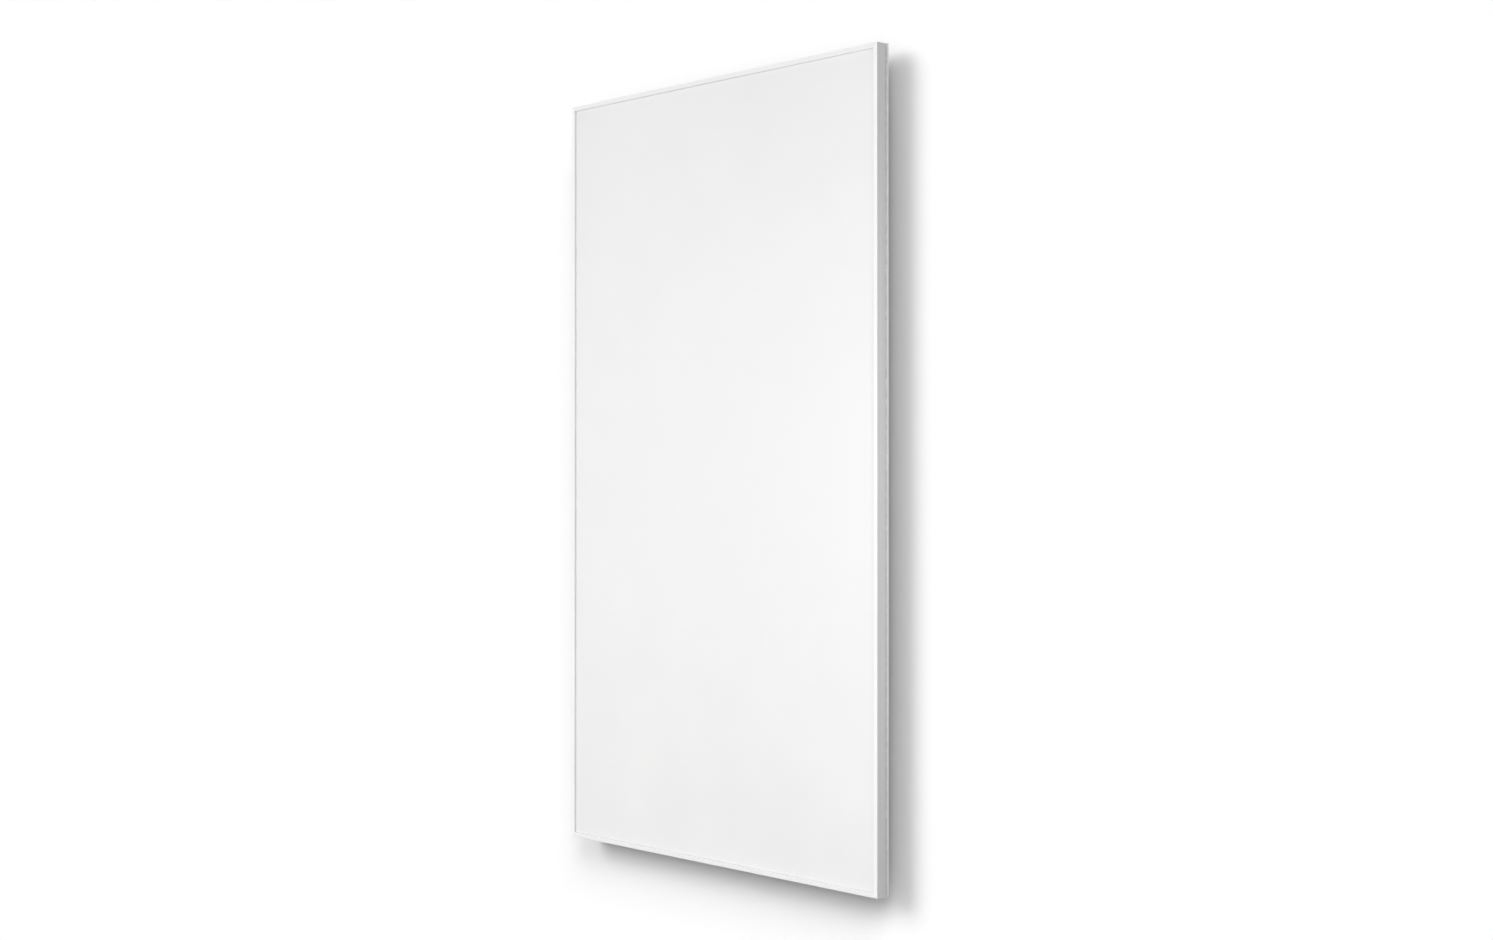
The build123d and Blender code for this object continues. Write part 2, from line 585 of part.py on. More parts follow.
# Each rail is one bent strip: a flange on the wall, a short web and an upstand.
for row, fixing_z in ROWS.items():
    seat = fixing_z - FIXING_ABOVE_SEAT
    wall_line = -RAIL_THICKNESS / 2
    upstand_line = -(RAIL_REACH + RAIL_THICKNESS / 2)
    web_line = seat - RAIL_UPSTAND + RAIL_THICKNESS / 2
    rail_top = fixing_z + RAIL_ABOVE_FIXING
    with BuildPart() as rail:
        with BuildSketch(Plane.YZ):
            with BuildLine() as bends:
                FilletPolyline(
                    (wall_line, rail_top),
                    (wall_line, web_line),
                    (upstand_line, web_line),
                    (upstand_line, seat),
                    radius=RAIL_BEND_RADIUS,
                )
            trace(bends.line, line_width=RAIL_THICKNESS)
        extrude(amount=RAIL_LENGTH / 2, both=True)
        ends = rail.edges().filter_by(Axis.Y).group_by(Axis.Z)[-1]
        fillet(ends, RAIL_CORNER_RADIUS)
        with Locations(rear_plane(0)):
            with Locations((-FIXING_SPACING_X / 2, fixing_z), (FIXING_SPACING_X / 2, fixing_z)):
                Hole(FIXING_RADIUS, RAIL_THICKNESS)
    name = f"wall_rail_{row}"
    rail.part.label = name
    export_step(rail.part, f"parts/{name}.step")

# Each hook is riveted to the back plate, reaches over the rail's upstand and turns down behind it.
for row, fixing_z in ROWS.items():
    for side, across in SIDES.items():
        seat = fixing_z - FIXING_ABOVE_SEAT
        base_line = BACK_Y + HOOK_THICKNESS / 2
        lip_line = HOOK_CLEARANCE - RAIL_REACH + HOOK_THICKNESS / 2
        web_line = seat + HOOK_THICKNESS / 2
        with BuildPart() as hook:
            with BuildSketch(Plane.YZ.offset(across * HOOK_SPACING / 2)):
                with BuildLine() as bends:
                    FilletPolyline(
                        (base_line, seat + HOOK_FLANGE),
                        (base_line, web_line),
                        (lip_line, web_line),
                        (lip_line, seat - HOOK_LIP),
                        radius=HOOK_BEND_RADIUS,
                    )
                trace(bends.line, line_width=HOOK_THICKNESS)
            extrude(amount=HOOK_WIDTH / 2, both=True)
            flange_ends = hook.edges().filter_by(Axis.Y).group_by(Axis.Z)[-1]
            lip_ends = hook.edges().filter_by(Axis.Y).group_by(Axis.Z)[0]
            fillet([*flange_ends, *lip_ends], HOOK_CORNER_RADIUS)
            with Locations(rear_plane(BACK_Y + HOOK_THICKNESS)):
                with Locations(*HOOK_RIVETS):
                    Hole(HOOK_RIVET_RADIUS + SCREW_CLEARANCE, HOOK_THICKNESS)
        name = f"hook_{row}_{side}"
        hook.part.label = name
        export_step(hook.part, f"parts/{name}.step")

# Domed rivets of the hooks and of the terminal box, through the back plate.
for name, places, radius, head_radius, grip in (
    ("hook_rivets", HOOK_RIVETS, HOOK_RIVET_RADIUS, HOOK_RIVET_HEAD_RADIUS, HOOK_THICKNESS),
    ("box_rivets", BOX_RIVETS, BOX_RIVET_RADIUS, BOX_RIVET_HEAD_RADIUS, BOX_FLOOR),
):
    with BuildPart() as rivets:
        with Locations(rear_plane(BACK_Y + grip)):
            with Locations(*places):
                Cylinder(radius, grip + BACK_THICKNESS, align=TOP_DOWN)
                Cylinder(head_radius, RIVET_HEAD_HEIGHT, align=BOTTOM_UP)
        domes = rivets.faces().group_by(Axis.Y)[-1].edges()
        fillet(domes, RIVET_HEAD_ROUND)
        with Locations(rear_plane(BACK_Y - BACK_THICKNESS)):
            with Locations(*places):
                Cylinder(radius + RIVET_TAIL_EXTRA, RIVET_TAIL_HEIGHT, align=TOP_DOWN)
    rivets.part.label = name
    export_step(rivets.part, f"parts/{name}.step")

# ---------------------------------------------------------------- cut-outs, springs and leads

# Bimetal cut-out: a cup on the foil, a round body and two blades.
for side, across in SIDES.items():
    middle_x = across * CUTOUT_SPACING / 2
    with BuildPart() as thermal_cutout:
        with BuildSketch(rear_plane(FRONT_Y + FOIL_REAR)):
            with Locations((-middle_x, TAB_Z)):
                Circle(CUTOUT_CUP_RADIUS)
        extrude(amount=CUTOUT_CUP_HEIGHT)
        with BuildSketch(rear_plane(FRONT_Y + FOIL_REAR + CUTOUT_CUP_HEIGHT)):
            with Locations((-middle_x, TAB_Z)):
                Circle(CUTOUT_BODY_RADIUS)
        extrude(amount=CUTOUT_BODY_HEIGHT)
        with BuildSketch(rear_plane(FRONT_Y + BLADE_FRONT)):
            blade_middle = (BLADE_START + BLADE_END) / 2
            with Locations((-middle_x - blade_middle, TAB_Z), (-middle_x + blade_middle, TAB_Z)):
                Rectangle(BLADE_END - BLADE_START, BLADE_WIDTH)
        extrude(amount=BLADE_THICKNESS)
    name = f"thermal_cutout_{side}"
    thermal_cutout.part.label = name
    export_step(thermal_cutout.part, f"parts/{name}.step")

# Leaf spring bowed between the back plate and the cut-out.
for side, across in SIDES.items():
    near = FRONT_Y + BLADE_FRONT + SPRING_THICKNESS / 2
    far = FRONT_Y + BACK_FRONT - SPRING_THICKNESS
    with BuildPart() as cutout_spring:
        with BuildSketch(Plane.YZ.offset(across * CUTOUT_SPACING / 2)):
            with BuildLine() as bow:
                ThreePointArc(
                    (far, TAB_Z - SPRING_HALF_LENGTH),
                    (near, TAB_Z),
                    (far, TAB_Z + SPRING_HALF_LENGTH),
                )
            trace(bow.line, line_width=SPRING_THICKNESS)
        extrude(amount=SPRING_WIDTH / 2, both=True)
    name = f"cutout_spring_{side}"
    cutout_spring.part.label = name
    export_step(cutout_spring.part, f"parts/{name}.step")

# Live and neutral leads: a socket on the cut-out's blade, then up the bay, through the bush
# and down into the terminal block.
for name, across in (("live_lead", -1), ("neutral_lead", 1)):
    wire_y = FRONT_Y + WIRE_DEPTH
    socket_x = across * (CUTOUT_SPACING / 2 - BLADE_END)
    wire_x = socket_x - across * SOCKET_LENGTH
    way_x = across * BLOCK_PITCH
    block_top = BLOCK_Z + BLOCK_HEIGHT / 2
    with BuildPart() as lead:
        with BuildLine() as route:
            FilletPolyline(
                (wire_x, wire_y, TAB_Z),
                (way_x, wire_y, TAB_Z),
                (way_x, wire_y, BUSH_Z),
                (way_x, ENTRY_Y, BUSH_Z),
                (way_x, ENTRY_Y, block_top - WIRE_IN_BLOCK),
                radius=WIRE_BEND_RADIUS,
            )
        with BuildSketch(Plane(origin=(wire_x, wire_y, TAB_Z), z_dir=(-across, 0, 0))):
            Circle(WIRE_RADIUS)
        sweep(path=route.line)
        with Locations((socket_x - across * SOCKET_LENGTH / 2, wire_y, TAB_Z)):
            Box(SOCKET_LENGTH, SOCKET_HEIGHT, SOCKET_WIDTH)
    lead.part.label = name
    export_step(lead.part, f"parts/{name}.step")

# Earth stud: its head lies inside the bay, its shank stands in the terminal box.
STUD_BASE_Y = BACK_Y - BACK_THICKNESS
with BuildPart() as earth_stud:
    with Locations(rear_plane(STUD_BASE_Y)):
        with Locations((-EARTH_X, EARTH_Z)):
            Cylinder(STUD_HEAD_RADIUS, STUD_HEAD_HEIGHT, align=TOP_DOWN)
            Cylinder(STUD_RADIUS, STUD_LENGTH, align=BOTTOM_UP)
earth_stud.part.label = "earth_stud"
export_step(earth_stud.part, "parts/earth_stud.step")

with BuildPart() as earth_washer:
    with BuildSketch(rear_plane(BOX_FLOOR_Y)):
        with Locations((-EARTH_X, EARTH_Z)):
            Circle(WASHER_RADIUS)
            Circle(STUD_RADIUS + STUD_CLEARANCE, mode=Mode.SUBTRACT)
    extrude(amount=WASHER_THICKNESS)
earth_washer.part.label = "earth_washer"
export_step(earth_washer.part, "parts/earth_washer.step")

# Earth lead: a ring lug under the nut, and a wire to the middle way of the block.
LUG_Y = BOX_FLOOR_Y + WASHER_THICKNESS
BARREL_Y = LUG_Y + LUG_THICKNESS / 2 + LUG_BARREL_RADIUS
BARREL_X = EARTH_X - LUG_RADIUS - LUG_BARREL_LENGTH
with BuildPart() as earth_lead:
    with BuildSketch(rear_plane(LUG_Y)):
        with Locations((-EARTH_X, EARTH_Z)):
            Circle(LUG_RADIUS)
        with Locations((-(EARTH_X - LUG_RADIUS), EARTH_Z)):
            Rectangle(2 * LUG_RADIUS, 2 * LUG_BARREL_RADIUS)
        with Locations((-EARTH_X, EARTH_Z)):
            Circle(STUD_RADIUS + STUD_CLEARANCE, mode=Mode.SUBTRACT)
    extrude(amount=LUG_THICKNESS)
    with BuildSketch(Plane.YZ.offset(BARREL_X)):
        with Locations((BARREL_Y, EARTH_Z)):
            Circle(LUG_BARREL_RADIUS)
    extrude(amount=LUG_BARREL_LENGTH)
    with BuildLine() as earth_route:
        FilletPolyline(
            (BARREL_X, BARREL_Y, EARTH_Z),
            (0, ENTRY_Y, EARTH_Z),
            (0, ENTRY_Y, BLOCK_Z + BLOCK_HEIGHT / 2 - WIRE_IN_BLOCK),
            radius=WIRE_BEND_RADIUS,
        )
    with BuildSketch(Plane(origin=(BARREL_X, BARREL_Y, EARTH_Z), z_dir=earth_route.line % 0)):
        Circle(WIRE_RADIUS)
    sweep(path=earth_route.line)
earth_lead.part.label = "earth_lead"
export_step(earth_lead.part, "parts/earth_lead.step")

with BuildPart() as earth_nut:
    with BuildSketch(rear_plane(LUG_Y + LUG_THICKNESS)):
        with Locations((-EARTH_X, EARTH_Z)):
            RegularPolygon(NUT_FLATS / 2, 6, major_radius=False)
            Circle(STUD_RADIUS + STUD_CLEARANCE, mode=Mode.SUBTRACT)
    extrude(amount=NUT_HEIGHT)
earth_nut.part.label = "earth_nut"
export_step(earth_nut.part, "parts/earth_nut.step")

# Rubber bush with a hole for each lead, its two flanges gripping back plate and box floor.
with BuildPart() as lead_bush:
    with BuildSketch(rear_plane(STUD_BASE_Y - BUSH_FLANGE_THICKNESS)):
        with Locations((0, BUSH_Z)):
            SlotOverall(BUSH_LENGTH + 2 * BUSH_FLANGE, BUSH_WIDTH + 2 * BUSH_FLANGE)
    extrude(amount=BUSH_FLANGE_THICKNESS)
    with BuildSketch(rear_plane(STUD_BASE_Y)):
        with Locations((0, BUSH_Z)):
            SlotOverall(BUSH_LENGTH - 2 * BUSH_CLEARANCE, BUSH_WIDTH - 2 * BUSH_CLEARANCE)
    extrude(amount=BACK_THICKNESS + BOX_FLOOR)
    with BuildSketch(rear_plane(BOX_FLOOR_Y)):
        with Locations((0, BUSH_Z)):
            SlotOverall(BUSH_LENGTH + 2 * BUSH_FLANGE, BUSH_WIDTH + 2 * BUSH_FLANGE)
    extrude(amount=BUSH_FLANGE_THICKNESS)
    with Locations(rear_plane(BOX_FLOOR_Y)):
        with Locations((-BLOCK_PITCH, BUSH_Z), (BLOCK_PITCH, BUSH_Z)):
            Hole(WIRE_RADIUS + WIRE_HOLE_CLEARANCE)
lead_bush.part.label = "lead_bush"
export_step(lead_bush.part, "parts/lead_bush.step")

# ---------------------------------------------------------------- terminal box

# Open tray with a screw boss in each corner and a thick lower wall for the gland's thread.
with BuildPart() as terminal_box_base:
    with BuildSketch(rear_plane(BACK_Y)):
        with Locations((0, BOX_MIDDLE_Z)):
            RectangleRounded(BOX_WIDTH, BOX_HEIGHT, BOX_CORNER_RADIUS)
    extrude(amount=BOX_BASE_DEPTH)
    with BuildSketch(rear_plane(BOX_FLOOR_Y)):
        with Locations((0, BOX_MIDDLE_Z)):
            RectangleRounded(
                BOX_WIDTH - 2 * BOX_WALL, BOX_HEIGHT - 2 * BOX_WALL, BOX_CORNER_RADIUS - BOX_WALL
            )
        with Locations((0, BOX_LOW_Z)):
            Rectangle(GLAND_BOSS_WIDTH, 2 * GLAND_BOSS, mode=Mode.SUBTRACT)
        with Locations(*LID_SCREWS):
            Circle(BOSS_RADIUS, mode=Mode.SUBTRACT)
    extrude(amount=BOX_BASE_DEPTH - BOX_FLOOR, mode=Mode.SUBTRACT)
    with Locations(rear_plane(BOX_RIM_Y)):
        with Locations(*LID_SCREWS):
            Hole(LID_SCREW_RADIUS + SCREW_CLEARANCE, BOX_BASE_DEPTH - BOX_FLOOR)
    with Locations(rear_plane(BOX_FLOOR_Y)):
        with Locations(*BOX_RIVETS):
            Hole(BOX_RIVET_RADIUS + SCREW_CLEARANCE, BOX_FLOOR)
        with Locations((-EARTH_X, EARTH_Z)):
            Hole(STUD_RADIUS + STUD_CLEARANCE, BOX_FLOOR)
    with BuildSketch(rear_plane(BACK_Y)):
        with Locations((0, BUSH_Z)):
            SlotOverall(BUSH_LENGTH, BUSH_WIDTH)
    extrude(amount=BOX_FLOOR, mode=Mode.SUBTRACT)
    with BuildSketch(level_plane(BOX_LOW_Z)):
        with Locations((0, GLAND_Y)):
            Circle(GLAND_THREAD_RADIUS + SCREW_CLEARANCE)
    extrude(amount=GLAND_BOSS, mode=Mode.SUBTRACT)
terminal_box_base.part.label = "terminal_box_base"
export_step(terminal_box_base.part, "parts/terminal_box_base.step")

with BuildPart() as terminal_box_seal:
    with BuildSketch(rear_plane(BOX_RIM_Y)):
        with Locations((0, BOX_MIDDLE_Z)):
            RectangleRounded(BOX_WIDTH, BOX_HEIGHT, BOX_CORNER_RADIUS)
            RectangleRounded(
                BOX_WIDTH - 2 * BOX_WALL,
                BOX_HEIGHT - 2 * BOX_WALL,
                BOX_CORNER_RADIUS - BOX_WALL,
                mode=Mode.SUBTRACT,
            )
    extrude(amount=BOX_SEAL_THICKNESS)
terminal_box_seal.part.label = "terminal_box_seal"
export_step(terminal_box_seal.part, "parts/terminal_box_seal.step")

with BuildPart() as terminal_box_lid:
    with BuildSketch(rear_plane(BOX_LID_Y)):
        with Locations((0, BOX_MIDDLE_Z)):
            RectangleRounded(BOX_WIDTH, BOX_HEIGHT, BOX_CORNER_RADIUS)
    extrude(amount=BOX_LID_THICKNESS)
    fillet(terminal_box_lid.faces().group_by(Axis.Y)[-1].edges(), LID_EDGE_RADIUS)
    with Locations(rear_plane(BOX_REAR_Y)):
        with Locations(*LID_SCREWS):
            CounterBoreHole(
                LID_SCREW_RADIUS + SCREW_CLEARANCE,
                LID_SCREW_HEAD_RADIUS + SCREW_CLEARANCE,
                LID_SCREW_HEAD_HEIGHT,
                BOX_LID_THICKNESS,
            )
terminal_box_lid.part.label = "terminal_box_lid"
export_step(terminal_box_lid.part, "parts/terminal_box_lid.step")

with BuildPart() as lid_screws:
    with Locations(rear_plane(BOX_REAR_Y)):
        with Locations(*LID_SCREWS):
            Cylinder(LID_SCREW_RADIUS, LID_SCREW_LENGTH, align=TOP_DOWN)
            Cylinder(LID_SCREW_HEAD_RADIUS, LID_SCREW_HEAD_HEIGHT, align=TOP_DOWN)
            Box(RECESS_LENGTH, RECESS_WIDTH, RECESS_DEPTH, align=TOP_DOWN, mode=Mode.SUBTRACT)
            Box(RECESS_WIDTH, RECESS_LENGTH, RECESS_DEPTH, align=TOP_DOWN, mode=Mode.SUBTRACT)
lid_screws.part.label = "lid_screws"
export_step(lid_screws.part, "parts/lid_screws.step")

# ---------------------------------------------------------------- terminal block

# Moulded body, open along each way, with a well over each screw.
with BuildPart() as terminal_block:
    with BuildSketch(rear_plane(BOX_FLOOR_Y)):
        with Locations((0, BLOCK_Z)):
            Rectangle(BLOCK_WIDTH, BLOCK_HEIGHT)
    extrude(amount=BLOCK_DEPTH)
    with BuildSketch(level_plane(BLOCK_Z)):
        with Locations(*[(x, ENTRY_Y) for x in WAY_X]):
            Rectangle(INSERT_SIDE + 2 * INSERT_CLEARANCE, INSERT_SIDE + 2 * INSERT_CLEARANCE)
    extrude(amount=BLOCK_HEIGHT / 2, both=True, mode=Mode.SUBTRACT)
    with Locations(rear_plane(BOX_FLOOR_Y + BLOCK_DEPTH)):
        with Locations(*TERMINAL_SCREWS):
            Hole(TERMINAL_WELL_RADIUS, BLOCK_DEPTH - ENTRY_HEIGHT)
terminal_block.part.label = "terminal_block"
export_step(terminal_block.part, "parts/terminal_block.step")

with BuildPart() as terminal_inserts:
    with BuildSketch(level_plane(BLOCK_Z)):
        with Locations(*[(x, ENTRY_Y) for x in WAY_X]):
            Rectangle(INSERT_SIDE, INSERT_SIDE)
            Circle(INSERT_BORE_RADIUS, mode=Mode.SUBTRACT)
    extrude(amount=INSERT_LENGTH / 2, both=True)
    with Locations(rear_plane(ENTRY_Y + INSERT_SIDE / 2)):
        with Locations(*TERMINAL_SCREWS):
            Hole(TERMINAL_SCREW_RADIUS + SCREW_CLEARANCE, INSERT_SIDE / 2)
terminal_inserts.part.label = "terminal_inserts"
export_step(terminal_inserts.part, "parts/terminal_inserts.step")

with BuildPart() as terminal_screws:
    with Locations(rear_plane(ENTRY_Y + INSERT_SIDE / 2)):
        with Locations(*TERMINAL_SCREWS):
            Cylinder(
                TERMINAL_SCREW_RADIUS,
                INSERT_SIDE / 2 - WIRE_RADIUS - SCREW_CLEARANCE,
                align=TOP_DOWN,
            )
            Cylinder(TERMINAL_HEAD_RADIUS, TERMINAL_HEAD_HEIGHT, align=BOTTOM_UP)
    with Locations(rear_plane(ENTRY_Y + INSERT_SIDE / 2 + TERMINAL_HEAD_HEIGHT)):
        with Locations(*TERMINAL_SCREWS):
            Box(RECESS_LENGTH, RECESS_WIDTH, RECESS_DEPTH, align=TOP_DOWN, mode=Mode.SUBTRACT)
terminal_screws.part.label = "terminal_screws"
export_step(terminal_screws.part, "parts/terminal_screws.step")

# ---------------------------------------------------------------- cable gland

# Body: a thread in the box's boss, a hexagon, and a neck with a counterbore for the seal.
HEX_LOW_Z = BOX_LOW_Z - GLAND_HEX_HEIGHT
NECK_LOW_Z = HEX_LOW_Z - GLAND_NECK_LENGTH
with BuildPart() as gland_body:
    with BuildSketch(level_plane(NECK_LOW_Z)):
        with Locations((0, GLAND_Y)):
            Circle(GLAND_NECK_RADIUS)
    extrude(amount=GLAND_NECK_LENGTH)
    with BuildSketch(level_plane(HEX_LOW_Z)):
        with Locations((0, GLAND_Y)):
            RegularPolygon(GLAND_FLATS / 2, 6, major_radius=False)
    extrude(amount=GLAND_HEX_HEIGHT)
    with BuildSketch(level_plane(BOX_LOW_Z)):
        with Locations((0, GLAND_Y)):
            Circle(GLAND_THREAD_RADIUS)
    extrude(amount=GLAND_BOSS)
    with Locations(Plane(origin=(0, GLAND_Y, NECK_LOW_Z), z_dir=(0, 0, -1))):
        CounterBoreHole(GLAND_PASSAGE_RADIUS, GLAND_SEAL_RADIUS, GLAND_SEAL_LENGTH)
gland_body.part.label = "gland_body"
export_step(gland_body.part, "parts/gland_body.step")

with BuildPart() as gland_seal:
    with BuildSketch(level_plane(NECK_LOW_Z)):
        with Locations((0, GLAND_Y)):
            Circle(GLAND_SEAL_RADIUS - SCREW_CLEARANCE)
            Circle(CABLE_RADIUS, mode=Mode.SUBTRACT)
    extrude(amount=GLAND_SEAL_LENGTH)
gland_seal.part.label = "gland_seal"
export_step(gland_seal.part, "parts/gland_seal.step")

# Clamping cap, screwed over the neck.
CAP_LOW_Z = NECK_LOW_Z - CAP_FLOOR
with BuildPart() as gland_cap:
    with BuildSketch(level_plane(CAP_LOW_Z)):
        with Locations((0, GLAND_Y)):
            RegularPolygon(GLAND_FLATS / 2, 6, major_radius=False)
    extrude(amount=CAP_FLOOR + GLAND_NECK_LENGTH - CAP_HEX_GAP)
    chamfer(gland_cap.faces().sort_by(Axis.Z)[0].edges(), CAP_EDGE_CHAMFER)
    with BuildSketch(level_plane(NECK_LOW_Z)):
        with Locations((0, GLAND_Y)):
            Circle(GLAND_NECK_RADIUS + CAP_CLEARANCE)
    extrude(amount=GLAND_NECK_LENGTH, mode=Mode.SUBTRACT)
    with BuildSketch(level_plane(CAP_LOW_Z)):
        with Locations((0, GLAND_Y)):
            Circle(CAP_EXIT_RADIUS)
    extrude(amount=CAP_FLOOR, mode=Mode.SUBTRACT)
gland_cap.part.label = "gland_cap"
export_step(gland_cap.part, "parts/gland_cap.step")
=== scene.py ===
import math

import bpy
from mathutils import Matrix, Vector


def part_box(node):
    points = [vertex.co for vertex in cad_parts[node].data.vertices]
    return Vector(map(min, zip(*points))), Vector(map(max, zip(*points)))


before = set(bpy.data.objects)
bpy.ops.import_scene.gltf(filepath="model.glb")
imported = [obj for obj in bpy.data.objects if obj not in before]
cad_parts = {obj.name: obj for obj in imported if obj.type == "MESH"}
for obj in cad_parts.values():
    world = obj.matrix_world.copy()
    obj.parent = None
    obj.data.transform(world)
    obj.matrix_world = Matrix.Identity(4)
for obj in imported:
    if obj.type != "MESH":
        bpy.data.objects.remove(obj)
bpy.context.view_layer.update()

# ---- Camera. The picture is taken from the panel's right, not quite three metres away and level
# with its middle, so both long edges run straight up and the right-hand rail shows its side.
camera_data = bpy.data.cameras.new("camera")
camera_data.lens = 52.96
camera_data.sensor_width = 36.0
camera = bpy.data.objects.new("camera", camera_data)
camera.location = (2.1373, -1.8267, -0.0114)
camera.rotation_euler = (math.radians(90.256), 0.0, math.radians(49.189))
bpy.context.scene.collection.objects.link(camera)
bpy.context.scene.camera = camera
bpy.context.scene.view_settings.view_transform = "Standard"


# ---- Room. The heater hangs on a smooth white plastered wall, a metre above a pale floor. Wall
# and floor are seen from the room's side only, so that the back can be looked at too.
def plug(finish, socket, value):
    """Joins a socket to the output that it is given, or sets the plain number or colour on it."""
    if isinstance(value, bpy.types.NodeSocket):
        finish.node_tree.links.new(value, socket)
    elif socket.type == "RGBA":
        socket.default_value = (*value, 1.0)
    else:
        socket.default_value = value


def add_node(finish, kind, **inputs):
    """A shader node of this finish, with its inputs joined or set by name."""
    made = finish.node_tree.nodes.new("ShaderNode" + kind)
    for name, value in inputs.items():
        plug(finish, made.inputs[name.replace("_", " ")], value)
    return made


def combine(finish, operation, first, second):
    """Sum, product or the like of two numbers of this finish."""
    made = add_node(finish, "Math")
    made.operation = operation
    plug(finish, made.inputs[0], first)
    plug(finish, made.inputs[1], second)
    return made.outputs[0]


def join_shaders(finish, kind, first, second, **inputs):
    """Two shaders added together, or mixed from the first to the second by Fac."""
    made = add_node(finish, kind, **inputs)
    for socket, shader in zip(list(made.inputs)[-2:], (first, second)):
        plug(finish, socket, shader.outputs[0])
    return made


def looked_at(finish):
    """1 for what is seen, straight or in a mirror or glass, and 0 for the light that it gives."""
    ray = add_node(finish, "LightPath")
    mirrored = combine(finish, "ADD", ray.outputs["Is Glossy Ray"], ray.outputs["Is Transmission Ray"])
    return combine(finish, "ADD", ray.outputs["Is Camera Ray"], mirrored)


def plaster(name, shade, bounce, glow):
    """Matt white of this shade, with trowel marks. Bounce is the shade with which it lights the
    heater, and glow is what it seems to give off itself when it is looked at."""
    finish = bpy.data.materials.new(name)
    finish.use_nodes = True
    finish.node_tree.nodes.clear()
    speck = add_node(finish, "TexNoise", Scale=9.0, Detail=4.0)
    trowel = add_node(finish, "Bump", Height=speck.outputs[0], Strength=0.15, Distance=0.0004)
    shown = looked_at(finish)
    white = add_node(finish, "MapRange", Value=shown, To_Min=bounce, To_Max=shade)
    matt = add_node(finish, "BsdfDiffuse", Color=white.outputs[0], Normal=trowel.outputs[0])
    light = add_node(finish, "Emission", Strength=combine(finish, "MULTIPLY", shown, glow))
    lit = join_shaders(finish, "AddShader", matt, light)
    side = add_node(finish, "NewGeometry").outputs["Backfacing"]
    panes_passed = add_node(finish, "LightPath").outputs["Transparent Depth"]
    from_room = combine(
        finish,
        "MULTIPLY",
        combine(finish, "SUBTRACT", 1.0, side),
        combine(finish, "LESS_THAN", panes_passed, 0.5),
    )
    pane = add_node(finish, "BsdfTransparent")
    seen = join_shaders(finish, "MixShader", pane, lit, Fac=from_room)
    add_node(finish, "OutputMaterial", Surface=seen.outputs[0])
    return finish


def room_side(name, corners, finish):
    """Flat wall or floor."""
    sheet = bpy.data.meshes.new(name)
    sheet.from_pydata(corners, [], [(0, 1, 2, 3)])
    sheet.materials.append(finish)
    made = bpy.data.objects.new(name, sheet)
    bpy.context.scene.collection.objects.link(made)
    return made


WALL_BEHIND = 0.0004  # the wall's face lies this far behind the rails
ROOM_REACH = 5.0
FLOOR_LEVEL = -1.5

wall = room_side(
    "room_wall",
    [
        (-ROOM_REACH, WALL_BEHIND, FLOOR_LEVEL),
        (ROOM_REACH, WALL_BEHIND, FLOOR_LEVEL),
        (ROOM_REACH, WALL_BEHIND, ROOM_REACH),
        (-ROOM_REACH, WALL_BEHIND, ROOM_REACH),
    ],
    plaster("wall_plaster", shade=0.92, bounce=0.25, glow=0.0),
)
floor = room_side(
    "room_floor",
    [
        (-ROOM_REACH, -ROOM_REACH, FLOOR_LEVEL),
        (ROOM_REACH, -ROOM_REACH, FLOOR_LEVEL),
        (ROOM_REACH, ROOM_REACH, FLOOR_LEVEL),
        (-ROOM_REACH, ROOM_REACH, FLOOR_LEVEL),
    ],
    plaster("floor_paint", shade=0.88, bounce=0.75, glow=0.45),
)


# ---- Light. Even white light from all round. Four wide suns light the wall alone and throw the
# short soft shadow right of the heater and under it; the other lamps are for the heater itself.
EVEN_LIGHT = 0.27
WHITE = (1.0, 1.0, 1.0)
room_light = bpy.data.worlds.new("room_light")
bpy.context.scene.world = room_light
room_light.use_nodes = True
room_light.node_tree.nodes.clear()
even = add_node(room_light, "Background", Color=WHITE, Strength=EVEN_LIGHT)
backdrop = add_node(room_light, "Background", Color=WHITE, Strength=1.0)
sky = join_shaders(room_light, "MixShader", even, backdrop, Fac=looked_at(room_light))
add_node(room_light, "OutputWorld", Surface=sky.outputs[0])

MIDDLE = (0.0, 0.0, 0.0)


def listed(name, state, surfaces):
    """List of surfaces for a lamp: these alone (INCLUDE) or all but these (EXCLUDE)."""
    chosen = bpy.data.collections.new(name)
    for surface in surfaces:
        chosen.objects.link(surface)
    for member in chosen.collection_objects:
        member.light_linking.link_state = state
    return chosen


def hang_lamp(name, kind, place, power, spread, target=MIDDLE, only=(), never=(), shines=True):
    """Lamp that looks from its place at a target: a sun this many degrees wide, or a box this many
    metres wide. It lights some surfaces only, or all but those that it never lights. One that
    doesn't shine isn't mirrored in them."""
    lamp = bpy.data.lights.new(name, kind)
    lamp.energy = power
    if kind == "SUN":
        lamp.angle = math.radians(spread)
    else:
        lamp.size = spread
    stand = bpy.data.objects.new(name, lamp)
    stand.location = place
    stand.rotation_euler = (Vector(target) - Vector(place)).to_track_quat("-Z", "Y").to_euler()
    stand.visible_camera = False
    stand.visible_glossy = shines
    if only:
        stand.light_linking.receiver_collection = listed(name + "_lights", "INCLUDE", only)
        # A wide, low sun also shines from just below the level, so the floor lets it pass.
        stand.light_linking.blocker_collection = listed(name + "_passes", "EXCLUDE", (floor,))
    if never:
        stand.light_linking.receiver_collection = listed(name + "_skips", "EXCLUDE", never)
    bpy.context.scene.collection.objects.link(stand)


